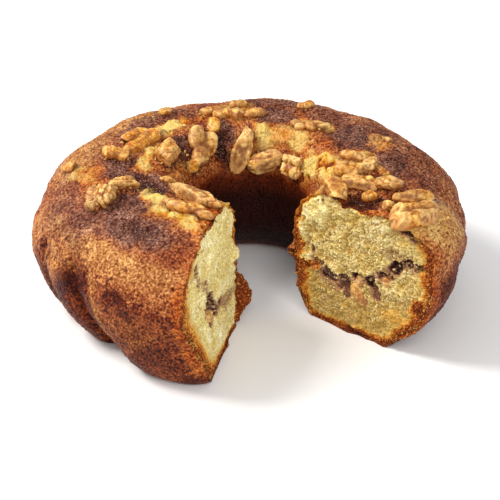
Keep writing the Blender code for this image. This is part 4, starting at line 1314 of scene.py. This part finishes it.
# %% Walnuts in the filling
# Azimuth, ring radius, height, size across, up and deep, and lean
FILLING_SEED, FILLING_WALNUT_SINK = 300, 0.3
FILLING_WALNUTS = (
    ("filling_walnut_big", -40.6, 77.5, 26.5, 12.5, 22, 11, -24),
    ("filling_walnut_small", -40.4, 95, 39.5, 8, 7, 8, 30),
    ("filling_walnut_left", 255.2, 82.5, 28, 8, 7, 9, 0),
)
for index, (name, azimuth, radius, height, across, up, deep, lean) in enumerate(FILLING_WALNUTS):
    angle, tilt = np.radians([azimuth, lean])
    upward = np.array([0.0, 0.0, 1.0])
    across_cut = np.array([np.cos(angle), np.sin(angle), 0.0]) * (-1 if azimuth > 180 else 1)
    upward, across_cut = (upward * np.cos(tilt) + across_cut * np.sin(tilt),
                          across_cut * np.cos(tilt) - upward * np.sin(tilt))
    axes = (upward, across_cut, np.cross(upward, across_cut))
    middle = place(azimuth, radius, height) + axes[2] * FILLING_WALNUT_SINK * deep
    loops, walnut_marks = walnut_loops("crescent", FILLING_SEED + index, (up, across, deep), axes, middle)
    walnut_marks.update(toast=0, skin=0.8, side=0)
    make_tube(name + "_kernel", loops, toasted_walnut, walnut_marks, [name])
print("walnut pieces in the filling:", len(FILLING_WALNUTS))

# %% [markdown]
# ## Loose grains
#
# Sugar and small nut crumbs are what the eye reads as a real crust. Each kind is one
# mesh: a small rough ball repeated at chosen points of the crust, every copy turned and
# sized on its own, all worked out as one array.

# %% Grains
GRAIN_SHAPE = (2, 6)
SUGAR_COUNT, SUGAR_SIZES = 1600, (0.13, 0.27)
NUT_COUNT, NUT_SIZES = 200, (0.3, 1.0)
BIT_COUNT, BIT_SIZES = 260, (0.2, 0.7)
CRUMB_COUNT, CRUMB_SIZES = {"right": 1500, "left": 900}, (0.25, 0.65)
FILLING_COUNT, FILLING_SIZES = 150, (0.35, 0.9)
FACING_UP = -0.2
RIM_DEPTH = 3.5


def make_grains(name, points, outward, sizes, finish, slot, seed, sink=0.3, rough=0.25):
    """One small ball at each point, every copy turned, sized and roughened on its own."""
    draw = np.random.default_rng(seed)
    count = len(points)
    ball = np.concatenate([ball_directions(*GRAIN_SHAPE).reshape(-1, 3), [[-1, 0, 0], [1, 0, 0]]])
    size = draw.uniform(*sizes, (count, 1, 1)) * draw.uniform(0.6, 1.3, (count, 1, 3))
    spin = np.linalg.qr(draw.normal(size=(count, 3, 3)))[0]
    spin = spin * np.linalg.det(spin)[:, None, None]
    bumpy = 1 + rough * draw.uniform(-1, 1, (count, len(ball), 1))
    grains = (ball * bumpy * size) @ spin
    grains = grains + (points + outward * size.mean(axis=(1, 2))[:, None] * (1 - 2 * sink))[:, None]
    shift = np.arange(count)[:, None, None] * len(ball)
    faces = [(make(*GRAIN_SHAPE) + shift).reshape(-1, corners)
             for make, corners in ((tube_faces, 4), (fan_caps, 3))]
    shade = np.repeat(draw.uniform(0, 1, count), len(ball))
    return make_piece(name, grains.reshape(-1, 3), faces, finish, {"shade": shade})


def spots_on_crust(count, likely, seed):
    """Random points of the crust with their normals, more of them where likely is high."""
    draw = np.random.default_rng(seed)
    inner = slice(RAGGED_ROWS, -RAGGED_ROWS)
    weight = (likely * (normals[..., 2] > FACING_UP))[inner].ravel()
    spots = draw.choice(weight.size, count, p=weight / weight.sum())
    return crust[inner].reshape(-1, 3)[spots], normals[inner].reshape(-1, 3)[spots]


def spots_on_rim(side, count, seed):
    """Random points round a cut's edge, with the direction out of the cut."""
    draw = np.random.default_rng(seed)
    rim = crust[CUT_ROW[side]]
    clumps = smooth(noise(rim, 5, seed), -0.3, 0.6) * (1 - smooth(rim[:, 2], 25, 50)) + 0.02
    picked = draw.choice(len(rim), count, p=clumps / clumps.sum())
    rim = (rim + draw.uniform(0.1, 1, (len(rim), 1)) * (step_inside(rim, side, RIM_DEPTH) - rim))[picked]
    return rim + draw.normal(size=rim.shape) * 0.3, -cut_inward(side, rim)


def spots_on_crumb(side, count, seed):
    """Random points of a cut's plain crumb, evenly by area, with the direction out of the cut."""
    points, share = PLAIN_CRUMB[side]
    spots = points[np.random.default_rng(seed).choice(len(points), count, p=share / share.sum())]
    return spots, -cut_inward(side, spots)


def spots_in_filling(side, count, seed):
    """Random points just behind a cut along the filling's line, with the direction out of the cut."""
    draw = np.random.default_rng(seed)
    picked = draw.integers(0, len(LINES[side][0]), count)
    radius, height = (part[picked] + draw.normal(size=count) * 1.6 for part in LINES[side])
    spots = place(CUT_RIGHT if side == "right" else cut_left_azimuth(height), radius, height)
    inward = cut_inward(side, spots)
    return spots + inward * draw.uniform(0.6, 3.0, (count, 1)), -inward


def grain_finish(name, dark, pale, roughness):
    """Grains that differ from one to the next between two colours."""
    look = Finish(name, roughness, specular=0.3)
    own = look.weighed((look.mark("shade"), 0.7), (look.speckle(0.8), 0.3))
    return look.done(look.colours(own, (0.1, *dark), (0.9, *pale)))


sugar = grain_finish("sugar_grains", (124, 86, 70), (208, 178, 160), roughness=0.45)
nut_crumb = grain_finish("nut_crumbs", (136, 78, 32), (218, 166, 96), roughness=0.5)
crumb_grain = grain_finish("crumb_grains", (186, 156, 80), (240, 224, 166), roughness=0.8)
filling_crumb = grain_finish("filling_crumbs", (70, 34, 16), (206, 166, 120), roughness=0.5)
crumb_bit = grain_finish("crumb_bits", (84, 34, 10), (214, 158, 78), roughness=0.7)
make_grains("sugar_grains", *spots_on_crust(SUGAR_COUNT, marks["cinnamon"] ** 2 + 0.3 * marks["sauce"], 5),
            SUGAR_SIZES, sugar, "crust", 15)
near_nuts = marks["collar"] * (1 - marks["hole"].clip(0, 1)) * (marks["collar"] < 0.9)
make_grains("nut_crumbs", *spots_on_crust(NUT_COUNT, near_nuts ** 2, 6), NUT_SIZES, nut_crumb, "walnut", 16,
            rough=0.55)
for side, seed in (("right", 7), ("left", 8)):
    make_grains("crumb_bits_" + side, *spots_on_rim(side, BIT_COUNT, seed), BIT_SIZES, crumb_bit, "crumb",
                seed, sink=0.6, rough=0.5)
    make_grains("crumb_grains_" + side, *spots_on_crumb(side, CRUMB_COUNT[side], seed + 40), CRUMB_SIZES,
                crumb_grain, "crumb", seed + 40, sink=0.55, rough=0.5)
    make_grains("filling_crumbs_" + side, *spots_in_filling(side, FILLING_COUNT, seed + 20), FILLING_SIZES,
                filling_crumb, "cinnamon_filling", seed + 20, sink=0.4, rough=0.5)
print("grains of sugar, nut and crumb:", SUGAR_COUNT, NUT_COUNT,
      2 * (BIT_COUNT + FILLING_COUNT) + sum(CRUMB_COUNT.values()))

# %% [markdown]
# ## Floor, light and camera
#
# The cake stands on a plain pale floor in soft studio light. The main light is a large
# area up to the left and a little behind, which gives the golden side its sheen and
# throws a soft shadow to the right. The camera stands in front, looking down by 28
# degrees through a long lens.

# %% Stage
# From here on lengths are in metres
FLOOR_HALF, FLOOR_GAP = 3.0, 0.02 * MM
LIGHT_TARGET = (0, 0, 0.04)
SKY_STRENGTH = 0.62


def make_floor():
    """A flat square under the cake, marked as stage."""
    mesh = bpy.data.meshes.new("floor")
    corners = [(x * FLOOR_HALF, y * FLOOR_HALF, 0) for x, y in ((-1, -1), (1, -1), (1, 1), (-1, 1))]
    mesh.from_pydata(corners, [], [(0, 1, 2, 3)])
    look = Finish("pale_floor", roughness=0.8, specular=0.1)
    look.shader.inputs["Base Color"].default_value = (0.9, 0.9, 0.9, 1)
    mesh.materials.append(look.material)
    floor = bpy.data.objects.new("floor", mesh)
    floor.location.z = -FLOOR_GAP
    bpy.context.scene.collection.objects.link(floor)
    floor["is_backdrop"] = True


def add_light(name, location, size, power, colour):
    """A square area light that looks at the cake."""
    light = bpy.data.lights.new(name, "AREA")
    light.size, light.energy, light.color = size, power, colour
    item = bpy.data.objects.new(name, light)
    item.location = location
    item.rotation_euler = (Vector(LIGHT_TARGET) - item.location).to_track_quat("-Z", "Y").to_euler()
    bpy.context.scene.collection.objects.link(item)


make_floor()
add_light("key_light", (-0.9, 0.1, 1.0), size=0.5, power=18, colour=(1.0, 0.97, 0.93))
add_light("front_light", (0.3, -1.35, 1.1), size=1.0, power=13, colour=(1.0, 0.98, 0.96))
world = bpy.data.worlds.new("studio")
world.use_nodes = True
background = world.node_tree.nodes["Background"].inputs
background["Color"].default_value = (1, 1, 1, 1)
background["Strength"].default_value = SKY_STRENGTH
bpy.context.scene.world = world
bpy.context.scene.view_settings.view_transform = "Standard"
print("lights:", len(bpy.data.lights))

# %% Camera
CAMERA_PLACE = (0.3 * MM, -747.2 * MM, 427.7 * MM)
LOOK_DOWN, ROLL = 28.4, 0.45
LENS, SENSOR_WIDTH = 106.7, 36
camera = bpy.data.objects.new("camera", bpy.data.cameras.new("camera"))
camera.data.sensor_width, camera.data.lens = SENSOR_WIDTH, LENS
camera.data.clip_start = 0.01
turned = Matrix.Rotation(np.radians(90 - LOOK_DOWN), 4, "X") @ Matrix.Rotation(np.radians(ROLL), 4, "Z")
camera.matrix_world = Matrix.Translation(CAMERA_PLACE) @ turned
bpy.context.scene.collection.objects.link(camera)
bpy.context.scene.camera = camera
